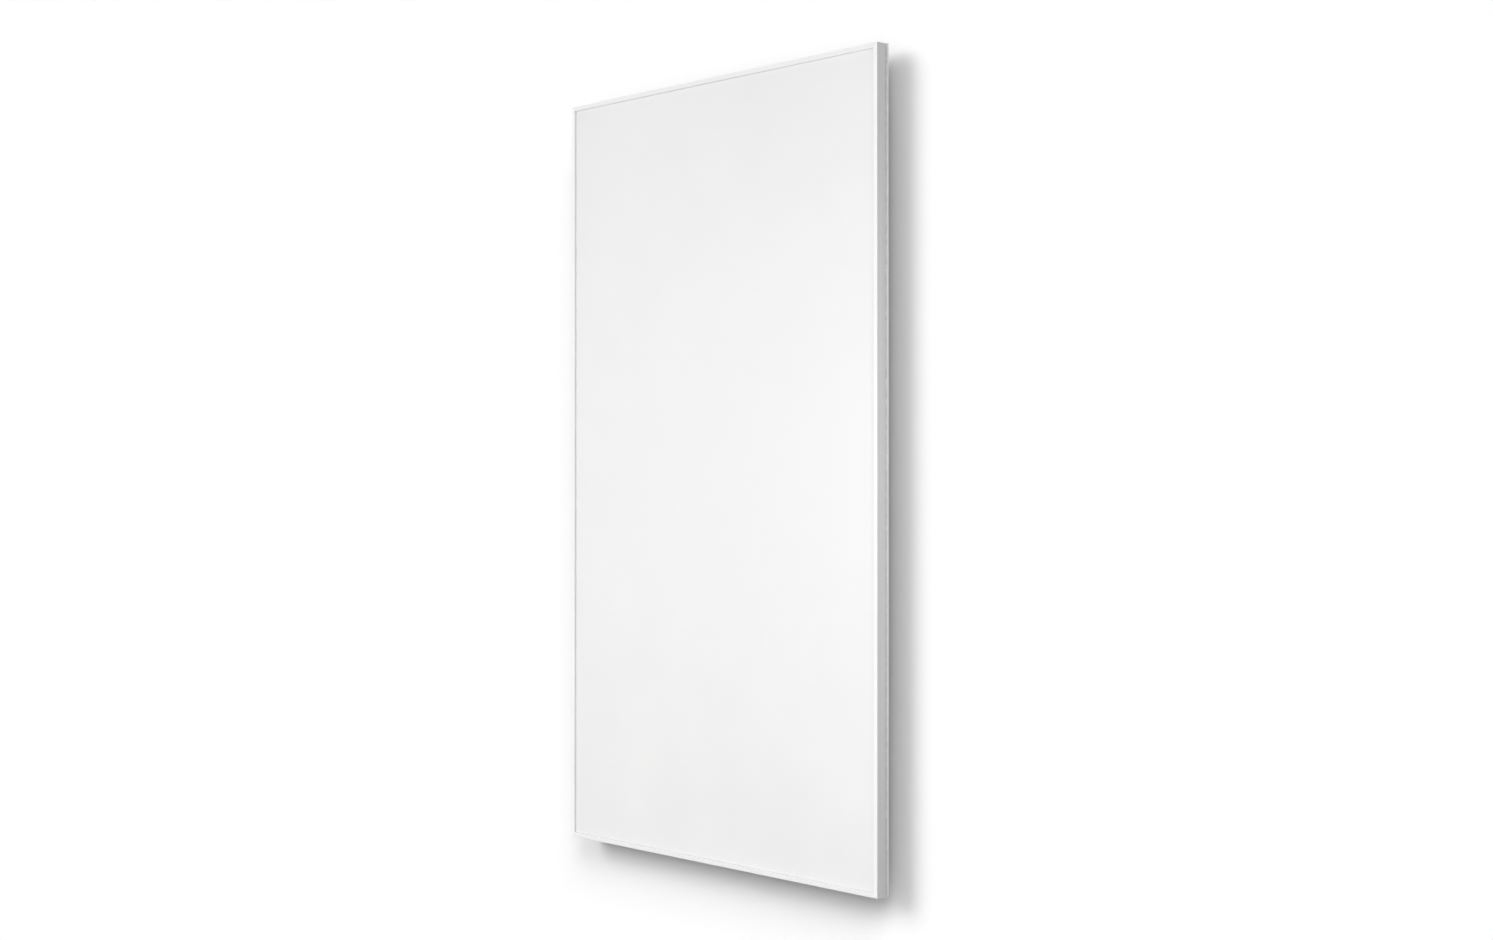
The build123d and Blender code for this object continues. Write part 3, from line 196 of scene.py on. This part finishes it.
for name, place, power in (
    ("wall_left", (-2.05, -2.05, 0.78), 0.70),
    ("wall_high", (-1.49, -2.13, 1.50), 1.50),
    ("wall_right", (1.88, -1.32, 1.93), 1.70),
    ("wall_top", (1.11, -1.58, 2.30), 0.41),
):
    hang_lamp(name, "SUN", place, power, spread=36.0, only=(wall,))

hang_lamp("key_light", "SUN", (-0.3, -2.9, 0.3), power=1.33, spread=40.0, never=(wall,))
hang_lamp("top_light", "SUN", (0.0, 0.0, 3.0), power=1.1, spread=30.0, never=(wall, floor))
hang_lamp("front_box", "AREA", (-2.0, -2.1, 0.05), power=7.2, spread=1.2, never=(wall,))
hang_lamp(
    "low_box",
    "AREA",
    (-0.3, -1.4, -0.74),
    power=1.6,
    spread=0.9,
    target=(0.0, 0.0, -0.4),
    never=(wall,),
)

# Seen almost edge-on, the plate would mirror the three lamps beside it.
hang_lamp(
    "left_light",
    "SUN",
    (-3.0, 0.0, 0.0),
    power=0.7,
    spread=30.0,
    never=(wall, floor),
    shines=False,
)
hang_lamp(
    "right_light", "SUN", (2.6, -1.5, 0.0), power=0.38, spread=40.0, never=(wall,), shines=False
)
hang_lamp(
    "side_box",
    "AREA",
    (0.94, -0.33, 0.0),
    power=1.57,
    spread=0.25,
    target=(0.3, -0.03, 0.0),
    never=(wall,),
    shines=False,
)

# These two stand behind the wall, which hides them unless the back is looked at.
hang_lamp("back_box", "AREA", (0.6, 3.0, 1.2), power=22.0, spread=1.8)
hang_lamp("back_sun", "SUN", (1.9, 0.9, 1.9), power=2.0, spread=24.0)


# ---- Frame. Four aluminium extrusions, mitred at the corners and powder coated white before they
# are cut, so the coat shows faint draw lines along each rail and the fine pebble of cured powder.
# The faces behind the front lip and the groove along the side are painted darker as painted shade, and
# the edges and the bead behind the groove are painted lighter as a painted highlight.
def new_finish(name):
    """Material with nothing but its shader."""
    finish = bpy.data.materials.new(name)
    finish.use_nodes = True
    return finish


def set_finish(finish, **inputs):
    """Sets or joins the inputs of the shader that a finish ends in."""
    shader = finish.node_tree.nodes["Principled BSDF"]
    for name, value in inputs.items():
        plug(finish, shader.inputs[name.replace("_", " ")], value)


def grain(finish, size, stretch=(1.0, 1.0, 1.0), detail=2.0, place=0.0):
    """Cloudy pattern from 0 to 1 with patches of this size in metres, drawn out by stretch. At
    another place it is another pattern."""
    spot = add_node(finish, "TexCoord")
    pulled = add_node(
        finish,
        "Mapping",
        Vector=spot.outputs["Object"],
        Location=(place, place, place),
        Scale=tuple(1.0 / (size * pull) for pull in stretch),
    )
    cloud = add_node(finish, "TexNoise", Vector=pulled.outputs[0], Scale=1.0, Detail=detail)
    return cloud.outputs[0]


def between(finish, pattern, low, high, start=0.3, end=0.7):
    """The pattern's values from start to end, turned into values from low to high."""
    spread = add_node(
        finish, "MapRange", Value=pattern, From_Min=start, From_Max=end, To_Min=low, To_Max=high
    )
    return spread.outputs[0]


def tones(finish, pattern, low, high, start=0.3, end=0.7):
    """Colour that goes from low to high as the pattern goes from start to end."""
    ramp = add_node(finish, "ValToRGB", Fac=pattern)
    for stop, place, colour in zip(ramp.color_ramp.elements, (start, end), (low, high)):
        stop.position = place
        stop.color = (*colour, 1.0)
    return ramp.outputs[0]


def overlay(finish, amount, under, over):
    """Colour under, with colour over laid on it by amount."""
    layer = add_node(finish, "Mix")
    layer.data_type = "RGBA"
    for place, value in ((0, amount), (6, under), (7, over)):  # the node's sockets for colours
        plug(finish, layer.inputs[place], value)
    return layer.outputs[2]


def vectors(finish, operation, *parts):
    """Node that works out these vectors, such as their dot product."""
    made = add_node(finish, "VectorMath")
    made.operation = operation
    for socket, part in zip(made.inputs, parts):
        plug(finish, socket, part)
    return made


FACING_AT_EDGE = 0.86  # how much a rounded-off surface still faces the real one's way
FACING_ON_FLAT = 0.995
PATCHES_FROM = 0.42
PATCHES_FULL = 0.62


def edge_patches(finish, reach, patch):
    """1 along an edge and 0 on the flats: edges within reach, broken into patches. It marks worn
    edges, and on the powder coat a painted highlight.
    """
    rounded = add_node(finish, "Bevel", Radius=reach)
    rounded.samples = 4
    flat = add_node(finish, "NewGeometry")
    facing = vectors(finish, "DOT_PRODUCT", rounded.outputs[0], flat.outputs["Normal"])
    edge = between(finish, facing.outputs["Value"], 1.0, 0.0, FACING_AT_EDGE, FACING_ON_FLAT)
    broken = grain(finish, patch, detail=4.0, place=3.0)
    patches = between(finish, broken, 0.0, 1.0, PATCHES_FROM, PATCHES_FULL)
    return combine(finish, "MULTIPLY", edge, patches)


def along(finish, axis, low, high):
    """1 where the piece lies between low and high on this axis, 0 elsewhere."""
    spot = add_node(finish, "TexCoord")
    place = add_node(finish, "SeparateXYZ", Vector=spot.outputs["Object"]).outputs[axis]
    above = combine(finish, "GREATER_THAN", place, low)
    return combine(finish, "MULTIPLY", above, combine(finish, "LESS_THAN", place, high))


def relief(finish, *layers):
    """Raises the surface by layers of (pattern, depth in metres)."""
    surface = {}
    for pattern, depth in layers:
        raised = add_node(finish, "Bump", Height=pattern, Strength=1.0, Distance=depth, **surface)
        surface = {"Normal": raised.outputs[0]}
    set_finish(finish, **surface)


def dress(finish, *names):
    """Gives these pieces of the heater this finish."""
    for name in names:
        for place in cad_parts[name].material_slots:
            place.material = finish


lip_front, rail_rear = (corner.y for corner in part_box("frame_right"))
LIP_THICKNESS = 0.0008
GROOVE_FROM_REAR = 0.0037
GROOVE_WIDTH = 0.0012
BEAD_HIGHLIGHT_WIDTH = 0.0012  # the width of the rear bead that is painted lighter, a painted highlight
DRAWN = 260.0  # the draw lines are this many times longer than wide
# The faces behind the front lip are mixed at least half way to this grey: draw lines, plus painted
# shade that keeps them darker than the front.
STREAK_AND_SHADE_GREY = (0.76, 0.76, 0.755)
# Painted shade: the groove along the side is darkened towards this grey.
GROOVE_SHADE_GREY = (0.45, 0.45, 0.44)
GROOVE_SHADE_SHARE = 0.7
# Painted highlight: the edges and the rear bead are lightened towards this white.
HIGHLIGHT_WHITE = (0.96, 0.96, 0.955)
RUBBED_GLOSS = 0.10  # rubbed coat is this much less rough


def powder_coat(name, draw, thin_spots, full_build):
    """White powder coat, from thin spots to full build, over draw lines stretched by draw. The faces
    behind the lip and the groove are painted darker as painted shade, and the edges and rear bead
    lighter as a painted highlight.
    """
    finish = new_finish(name)
    coat = tones(finish, grain(finish, 0.18, detail=3.0), thin_spots, full_build)
    drawn = between(finish, grain(finish, 0.0022, stretch=draw, detail=2.0, place=5.0), 0.5, 1.0)
    # Painted shade with draw lines: the faces behind the lip are darkened towards a mid grey.
    on_side = along(finish, "Y", lip_front + LIP_THICKNESS, rail_rear)
    streaked_and_shaded = overlay(finish, combine(finish, "MULTIPLY", drawn, on_side), coat, STREAK_AND_SHADE_GREY)
    # Painted shade: the groove is darkened towards a mid grey.
    groove_end = rail_rear - GROOVE_FROM_REAR
    in_groove = along(finish, "Y", groove_end - GROOVE_WIDTH, groove_end)
    groove_shaded = overlay(finish, combine(finish, "MULTIPLY", in_groove, GROOVE_SHADE_SHARE), streaked_and_shaded, GROOVE_SHADE_GREY)
    # Painted highlight along the edges, in rubbed patches, and along the rear bead; the same marks are
    # also less rough.
    on_bead = along(finish, "Y", rail_rear - BEAD_HIGHLIGHT_WIDTH, rail_rear)
    rubbed_and_highlighted = combine(finish, "MAXIMUM", edge_patches(finish, 0.0012, 0.012), on_bead)
    gloss = between(finish, grain(finish, 0.03, detail=3.0, place=1.0), 0.36, 0.46)
    set_finish(
        finish,
        Base_Color=overlay(finish, rubbed_and_highlighted, groove_shaded, HIGHLIGHT_WHITE),
        Roughness=combine(
            finish, "SUBTRACT", gloss, combine(finish, "MULTIPLY", rubbed_and_highlighted, RUBBED_GLOSS)
        ),
        Metallic=0.0,
    )
    pebble = grain(finish, 0.0014, detail=1.0)
    lines = grain(finish, 0.0011, stretch=draw, detail=2.0)
    relief(finish, (pebble, 0.000012), (lines, 0.000010))
    return finish


# One white coat in two shades: painted lighter on the upright rails and a shade darker on the level
# rails, as painted light and shade.
upright_coat_painted_light = powder_coat(
    "powder_coat_upright_painted_light",
    draw=(1.0, 1.0, DRAWN),
    thin_spots=(0.920, 0.922, 0.922),
    full_build=(0.950, 0.950, 0.948),
)
level_coat_painted_shade = powder_coat(  # the same coat painted a shade darker: painted shade on the level rails
    "powder_coat_level_painted_shade",
    draw=(DRAWN, 1.0, 1.0),
    thin_spots=(0.860, 0.862, 0.862),
    full_build=(0.890, 0.890, 0.888),
)
dress(upright_coat_painted_light, "frame_left", "frame_right")
dress(level_coat_painted_shade, "frame_top", "frame_bottom")


# ---- Corner keys. Cast aluminium angles pushed into the rails' hollow at each mitre and held by
# the corner screws. As cast they are dull grey with a sandy skin and bright where they were fettled.
def worn(finish, pattern, low, high, bare, reach, patch):
    """Colour from low to high with the pattern, rubbed to the bare colour along the edges."""
    return overlay(finish, edge_patches(finish, reach, patch), tones(finish, pattern, low, high), bare)


cast_aluminium = new_finish("cast_aluminium")
sand = grain(cast_aluminium, 0.0009, detail=5.0)
set_finish(
    cast_aluminium,
    Base_Color=worn(
        cast_aluminium,
        grain(cast_aluminium, 0.008, detail=3.0),
        low=(0.42, 0.42, 0.43),
        high=(0.56, 0.56, 0.57),
        bare=(0.74, 0.75, 0.76),
        reach=0.0010,
        patch=0.006,
    ),
    Metallic=1.0,
    Roughness=between(cast_aluminium, sand, 0.5, 0.7),
)
relief(cast_aluminium, (sand, 0.00006))
dress(
    cast_aluminium,
    "corner_key_top_left",
    "corner_key_top_right",
    "corner_key_bottom_left",
    "corner_key_bottom_right",
)


# ---- Screws. Countersunk steel screws with a cross recess, zinc plated with a clear blue
# passivation that has gone a little cloudy, and rubbed bright round the recess by the driver.
zinc_screws = new_finish("bright_zinc_screws")
bloom = grain(zinc_screws, 0.0022, detail=3.0)
set_finish(
    zinc_screws,
    Base_Color=worn(
        zinc_screws,
        bloom,
        low=(0.50, 0.53, 0.57),
        high=(0.66, 0.68, 0.70),
        bare=(0.80, 0.80, 0.78),
        reach=0.0004,
        patch=0.0012,
    ),
    Metallic=1.0,
    Roughness=between(zinc_screws, bloom, 0.24, 0.42),
)
relief(zinc_screws, (grain(zinc_screws, 0.0003, detail=2.0), 0.000008))
dress(zinc_screws, "corner_screws", "back_plate_screws", "lid_screws", "terminal_screws")


# ---- Warm plate. Flat steel sheet, sprayed with satin white enamel and stoved. The enamel has a
# very shallow orange peel, faint clouds in its gloss and a slightly thicker build at the edges.
EDGE_BUILD = 0.3  # how much the thicker enamel along the edges shows
plate_enamel = new_finish("satin_enamel")
peel = grain(plate_enamel, 0.0030, detail=2.0)
haze = grain(plate_enamel, 0.11, detail=3.0)
build = edge_patches(plate_enamel, 0.0010, 0.020)
set_finish(
    plate_enamel,
    Base_Color=overlay(
        plate_enamel,
        combine(plate_enamel, "MULTIPLY", build, EDGE_BUILD),
        tones(plate_enamel, haze, (0.862, 0.864, 0.862), (0.884, 0.885, 0.880)),
        (0.74, 0.74, 0.73),
    ),
    Metallic=0.0,
    Roughness=between(plate_enamel, haze, 0.30, 0.38),
)
relief(plate_enamel, (peel, 0.000010), (grain(plate_enamel, 0.0007, detail=1.0), 0.000003))
dress(plate_enamel, "radiating_plate")


# ---- Plate gasket. A flat strip of milky silicone between the plate's rim and the frame's
# shelf, die cut from sheet, so its faces are matt and its edges catch a little dust.
silicone = new_finish("milky_silicone")
talc = grain(silicone, 0.004, detail=4.0)
set_finish(
    silicone,
    Base_Color=tones(silicone, talc, (0.66, 0.66, 0.64), (0.78, 0.78, 0.76)),
    Roughness=between(silicone, talc, 0.55, 0.75),
    Metallic=0.0,
)
relief(silicone, (grain(silicone, 0.0012, detail=3.0), 0.00002))
dress(silicone, "plate_gasket")


# ---- Heating element. One zigzag strip etched from alloy foil, laminated between two amber
# polyester films, with a copper tab folded out from each end towards the wiring bay.
element_film = new_finish("amber_film")
ripple = grain(element_film, 0.03, detail=2.0)
set_finish(
    element_film,
    Base_Color=tones(element_film, ripple, (0.62, 0.44, 0.20), (0.72, 0.55, 0.28)),
    Roughness=between(element_film, ripple, 0.18, 0.30),
    Metallic=0.0,
)
relief(element_film, (ripple, 0.0004), (grain(element_film, 0.0006), 0.000004))
dress(element_film, "element_front_film", "element_rear_film")

resistance_strip = new_finish("resistance_strip")
etch = grain(resistance_strip, 0.0006, stretch=(1.0, 1.0, 30.0), detail=3.0)
set_finish(
    resistance_strip,
    Base_Color=tones(resistance_strip, etch, (0.42, 0.40, 0.37), (0.56, 0.54, 0.50)),
    Roughness=between(resistance_strip, etch, 0.32, 0.46),
    Metallic=1.0,
)
relief(resistance_strip, (etch, 0.000008))
dress(resistance_strip, "heating_track")

copper = new_finish("tab_copper")
tarnish = grain(copper, 0.006, detail=4.0)
set_finish(
    copper,
    Base_Color=tones(copper, tarnish, (0.52, 0.25, 0.14), (0.86, 0.48, 0.32)),
    Roughness=between(copper, tarnish, 0.42, 0.22),
    Metallic=1.0,
)
relief(copper, (grain(copper, 0.0004, stretch=(1.0, 1.0, 20.0)), 0.000006))
dress(copper, "element_tab_live", "element_tab_neutral")


# ---- Reflector and insulation. Crinkled aluminium foil lies on a pressed mineral fibre board
# that fills the box, cut away for the wiring bay. The board is buff, with fibres along its face.
foil = new_finish("reflector_foil")
crinkle = grain(foil, 0.012, detail=5.0)
set_finish(
    foil,
    Base_Color=tones(foil, crinkle, (0.78, 0.79, 0.80), (0.90, 0.90, 0.90)),
    Roughness=between(foil, crinkle, 0.16, 0.30),
    Metallic=1.0,
)
relief(foil, (crinkle, 0.0006))
dress(foil, "reflector_foil")

fibre_board = new_finish("mineral_fibre")
strands = grain(fibre_board, 0.0010, stretch=(14.0, 1.0, 3.0), detail=5.0)
clumps = grain(fibre_board, 0.02, detail=4.0)
set_finish(
    fibre_board,
    Base_Color=overlay(
        fibre_board,
        between(fibre_board, clumps, 0.0, 0.6),
        tones(fibre_board, strands, (0.46, 0.41, 0.30), (0.66, 0.61, 0.49)),
        (0.72, 0.68, 0.58),
    ),
    Roughness=between(fibre_board, strands, 0.85, 0.98),
    Metallic=0.0,
)
relief(fibre_board, (strands, 0.0004), (clumps, 0.0010))
dress(fibre_board, "insulation_board")


# ---- Back plate. Hot-dip galvanised sheet with pressed stiffening ribs. The zinc has frozen in
# large flat crystals that each catch the light their own way, with rolling marks under them.
BORDER_WAVES = 0.7  # along a crystal's border, to each crystal's width
BORDER_SWING = 0.5  # of that width
FRONDS = (5.0, 1.0, 0.7)  # fronds to a crystal, across, through and along


def galvanised(name, spangle, rolled):
    """Zinc crystals of this size over steel with rolling marks stretched by rolled."""
    finish = new_finish(name)
    spot = add_node(finish, "TexCoord").outputs["Object"]
    wander = add_node(finish, "TexNoise", Vector=spot, Scale=BORDER_WAVES / spangle)
    swing = (BORDER_SWING * spangle,) * 3
    shaken = vectors(finish, "MULTIPLY_ADD", wander.outputs["Color"], swing, spot)
    crystals = add_node(finish, "TexVoronoi", Vector=shaken.outputs[0], Scale=1.0 / spangle)
    tint, turn = add_node(finish, "SeparateColor", Color=crystals.outputs["Color"]).outputs[:2]
    turned = add_node(
        finish,
        "VectorRotate",
        Vector=spot,
        Axis=(0.0, 1.0, 0.0),
        Angle=combine(finish, "MULTIPLY", turn, math.pi),
    )
    fern = add_node(
        finish,
        "Mapping",
        Vector=turned.outputs[0],
        Scale=tuple(fronds / spangle for fronds in FRONDS),
    )
    growth = add_node(finish, "TexNoise", Vector=fern.outputs[0], Scale=1.0, Detail=3.0)
    branches = between(finish, growth.outputs[0], -0.35, 0.35, 0.35, 0.65)
    tone = combine(finish, "ADD", tint, branches)
    marks = grain(finish, 0.0008, stretch=rolled, detail=3.0)
    stain = grain(finish, 0.09, detail=4.0, place=2.0)
    metal = overlay(
        finish,
        between(finish, stain, 0.0, 0.45, 0.5, 0.75),
        tones(finish, tone, (0.29, 0.30, 0.31), (0.41, 0.42, 0.43), 0.0, 1.0),
        (0.38, 0.385, 0.38),
    )
    set_finish(
        finish,
        Base_Color=overlay(finish, edge_patches(finish, 0.0012, 0.008), metal, (0.60, 0.60, 0.59)),
        Metallic=1.0,
        Roughness=combine(
            finish,
            "ADD",
            between(finish, tone, 0.32, 0.46, 0.0, 1.0),
            between(finish, marks, -0.04, 0.06),
        ),
    )
    relief(finish, (tone, 0.00001), (marks, 0.000008))
    return finish


dress(galvanised("galvanised_back", spangle=0.011, rolled=(60.0, 1.0, 1.0)), "back_plate")


# ---- Thermal cut-outs. Bimetal discs in an aluminium cup, crimped to a brown phenolic body with
# tin-plated blades. A leaf spring of blued steel presses each cup on the element.
CUP_DEPTH = 0.0016
BLADES_FROM_CUP = 0.0076
cup_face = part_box("thermal_cutout_left")[0].y
cutout_body = new_finish("cutout_phenolic")
moulded = along(cutout_body, "Y", cup_face + CUP_DEPTH, cup_face + BLADES_FROM_CUP)
cutout_grain = grain(cutout_body, 0.0010, detail=4.0)
set_finish(
    cutout_body,
    Base_Color=overlay(
        cutout_body,
        moulded,
        tones(cutout_body, cutout_grain, (0.66, 0.66, 0.66), (0.80, 0.80, 0.79)),
        tones(cutout_body, cutout_grain, (0.07, 0.04, 0.025), (0.12, 0.07, 0.045)),
    ),
    Metallic=combine(cutout_body, "SUBTRACT", 1.0, moulded),
    Roughness=between(cutout_body, cutout_grain, 0.34, 0.50),
)
relief(cutout_body, (cutout_grain, 0.00002))
dress(cutout_body, "thermal_cutout_left", "thermal_cutout_right")

spring_steel = new_finish("blued_spring")
temper = grain(spring_steel, 0.004, detail=3.0)
set_finish(
    spring_steel,
    Base_Color=worn(
        spring_steel,
        temper,
        low=(0.16, 0.18, 0.26),
        high=(0.30, 0.28, 0.26),
        bare=(0.60, 0.60, 0.60),
        reach=0.0005,
        patch=0.003,
    ),
    Metallic=1.0,
    Roughness=between(spring_steel, temper, 0.25, 0.40),
)
relief(spring_steel, (grain(spring_steel, 0.0004), 0.000006))
dress(spring_steel, "cutout_spring_left", "cutout_spring_right")


# ---- Leads. Stranded copper in silicone rubber sleeving that stands the heat: brown for the
# live side, blue for neutral, and green with a yellow stripe for the protective earth.
DUSTY_SHADE = 0.8  # of the sleeving's own colour
STRIPE_SIDE = (0.6, 0.55, 0.58)  # the stripe faces this way
STRIPE_EDGE = 0.25  # and ends where the sleeving faces it no more than this


def sleeving(name, colour, stripe=None):
    """Matt silicone sleeving, with a stripe along one side if it has one."""
    finish = new_finish(name)
    dust = grain(finish, 0.003, detail=4.0)
    shade = tones(finish, dust, tuple(DUSTY_SHADE * part for part in colour), colour)
    if stripe:
        side = add_node(finish, "NewGeometry").outputs["Normal"]
        facing = vectors(finish, "DOT_PRODUCT", side, STRIPE_SIDE)
        band = combine(finish, "GREATER_THAN", facing.outputs["Value"], STRIPE_EDGE)
        shade = overlay(finish, band, shade, stripe)
    set_finish(
        finish, Base_Color=shade, Metallic=0.0, Roughness=between(finish, dust, 0.42, 0.58)
    )
    relief(finish, (grain(finish, 0.0008, detail=3.0), 0.00002))
    return finish


dress(sleeving("brown_sleeving", (0.16, 0.065, 0.03)), "live_lead")
dress(sleeving("blue_sleeving", (0.03, 0.11, 0.36)), "neutral_lead")
dress(sleeving("earth_sleeving", (0.05, 0.26, 0.06), stripe=(0.72, 0.62, 0.05)), "earth_lead")


# ---- Earth fixing and terminal inserts. Turned brass: a stud through the back plate with its
# washer and hexagon nut, and the three drilled inserts of the connector block.
brass = new_finish("turned_brass")
turned = grain(brass, 0.0003, stretch=(1.0, 40.0, 1.0), detail=2.0)
set_finish(
    brass,
    Base_Color=worn(
        brass,
        grain(brass, 0.005, detail=4.0),
        low=(0.50, 0.36, 0.14),
        high=(0.76, 0.60, 0.30),
        bare=(0.88, 0.74, 0.42),
        reach=0.0005,
        patch=0.002,
    ),
    Metallic=1.0,
    Roughness=between(brass, turned, 0.22, 0.40),
)
relief(brass, (turned, 0.000008))
dress(brass, "earth_stud", "earth_washer", "earth_nut", "terminal_inserts")


# ---- Rubber pieces. Moulded black EPDM: the bush that carries the leads through the back plate,
# the box's gasket and the gland's sealing ring. Matt, with a grey bloom on the flats.
rubber = new_finish("black_rubber")
rubber_bloom = grain(rubber, 0.006, detail=5.0)
set_finish(
    rubber,
    Base_Color=tones(rubber, rubber_bloom, (0.018, 0.018, 0.018), (0.050, 0.050, 0.052)),
    Metallic=0.0,
    Roughness=between(rubber, rubber_bloom, 0.62, 0.80),
)
relief(rubber, (grain(rubber, 0.0007, detail=3.0), 0.00003))
dress(rubber, "lead_bush", "terminal_box_seal", "gland_seal")


# ---- Terminal box. Injection moulded in light grey plastic with a spark-eroded face, riveted on
# the back plate, and closed by a lid on a gasket. Its corners are polished by handling.
HANDLED_TONE = 0.5  # how much the polished corners' paler grey shows
HANDLED_GLOSS = 0.18  # they are this much less rough
box_plastic = new_finish("light_grey_plastic")
spark = grain(box_plastic, 0.0007, detail=2.0)
flow = grain(box_plastic, 0.03, detail=3.0)
handled = edge_patches(box_plastic, 0.0012, 0.010)
set_finish(
    box_plastic,
    Base_Color=overlay(
        box_plastic,
        combine(box_plastic, "MULTIPLY", handled, HANDLED_TONE),
        tones(box_plastic, flow, (0.56, 0.57, 0.57), (0.62, 0.63, 0.62)),
        (0.74, 0.75, 0.74),
    ),
    Metallic=0.0,
    Roughness=combine(
        box_plastic,
        "SUBTRACT",
        between(box_plastic, spark, 0.48, 0.62),
        combine(box_plastic, "MULTIPLY", handled, HANDLED_GLOSS),
    ),
)
relief(box_plastic, (spark, 0.00003))
dress(box_plastic, "terminal_box_base", "terminal_box_lid")


# ---- Terminal block. Cream polyamide that holds the three brass inserts on the box's floor.
# The moulding is slightly shiny, with faint flow marks in its colour.
block_plastic = new_finish("cream_polyamide")
flow_marks = grain(block_plastic, 0.006, detail=4.0)
set_finish(
    block_plastic,
    Base_Color=tones(block_plastic, flow_marks, (0.70, 0.67, 0.58), (0.80, 0.78, 0.70)),
    Metallic=0.0,
    Roughness=between(block_plastic, flow_marks, 0.34, 0.46),
)
relief(block_plastic, (grain(block_plastic, 0.0009), 0.000015))
dress(block_plastic, "terminal_block")


# ---- Cable gland. Black polyamide body screwed into the box's lower wall, with a hexagon
# clamping cap. Fine moulding texture, and the cap's corners are scuffed by the spanner.
gland_plastic = new_finish("black_polyamide")
mould = grain(gland_plastic, 0.0006, detail=3.0)
set_finish(
    gland_plastic,
    Base_Color=worn(
        gland_plastic,
        mould,
        low=(0.020, 0.020, 0.021),
        high=(0.034, 0.034, 0.035),
        bare=(0.11, 0.11, 0.11),
        reach=0.0008,
        patch=0.003,
    ),
    Metallic=0.0,
    Roughness=between(gland_plastic, mould, 0.36, 0.50),
)
relief(gland_plastic, (mould, 0.00002))
dress(gland_plastic, "gland_body", "gland_cap")


# ---- Hooks. Folded from 2 mm strip and zinc plated, so they are brighter and smoother than the
# sheet behind them, with drawn lines down the strip and bare steel where they rub the rails.
zinc_plate = new_finish("zinc_plate")
strip_lines = grain(zinc_plate, 0.0006, stretch=(1.0, 1.0, 50.0), detail=3.0)
passivation = grain(zinc_plate, 0.018, detail=3.0)
set_finish(
    zinc_plate,
    Base_Color=worn(
        zinc_plate,
        passivation,
        low=(0.56, 0.59, 0.62),
        high=(0.70, 0.70, 0.68),
        bare=(0.82, 0.82, 0.80),
        reach=0.0014,
        patch=0.006,
    ),
    Metallic=1.0,
    Roughness=combine(
        zinc_plate,
        "ADD",
        between(zinc_plate, strip_lines, 0.22, 0.36),
        between(zinc_plate, passivation, 0.0, 0.08),
    ),
)
relief(zinc_plate, (strip_lines, 0.000008))
dress(zinc_plate, "hook_upper_left", "hook_upper_right", "hook_lower_left", "hook_lower_right")


# ---- Rivets. Blind steel rivets with domed heads, set from the back through the hooks and the
# box's floor. The heads have gone dull, with rims rubbed bright and a fine roughness all over.
rivet_steel = new_finish("rivet_steel")
dull = grain(rivet_steel, 0.004, detail=4.0)
set_finish(
    rivet_steel,
    Base_Color=worn(
        rivet_steel,
        dull,
        low=(0.46, 0.46, 0.46),
        high=(0.62, 0.62, 0.61),
        bare=(0.78, 0.78, 0.76),
        reach=0.0005,
        patch=0.002,
    ),
    Metallic=1.0,
    Roughness=between(rivet_steel, dull, 0.28, 0.46),
)
relief(rivet_steel, (grain(rivet_steel, 0.0005, detail=3.0), 0.000012))
dress(rivet_steel, "hook_rivets", "box_rivets")


# ---- Wall rails. The same galvanised sheet, folded into two long channels and screwed flat on
# the wall. Narrow strip freezes in smaller crystals, and it is rolled along its length.
rail_zinc = galvanised("galvanised_rail", spangle=0.007, rolled=(80.0, 1.0, 1.0))
dress(rail_zinc, "wall_rail_upper", "wall_rail_lower")
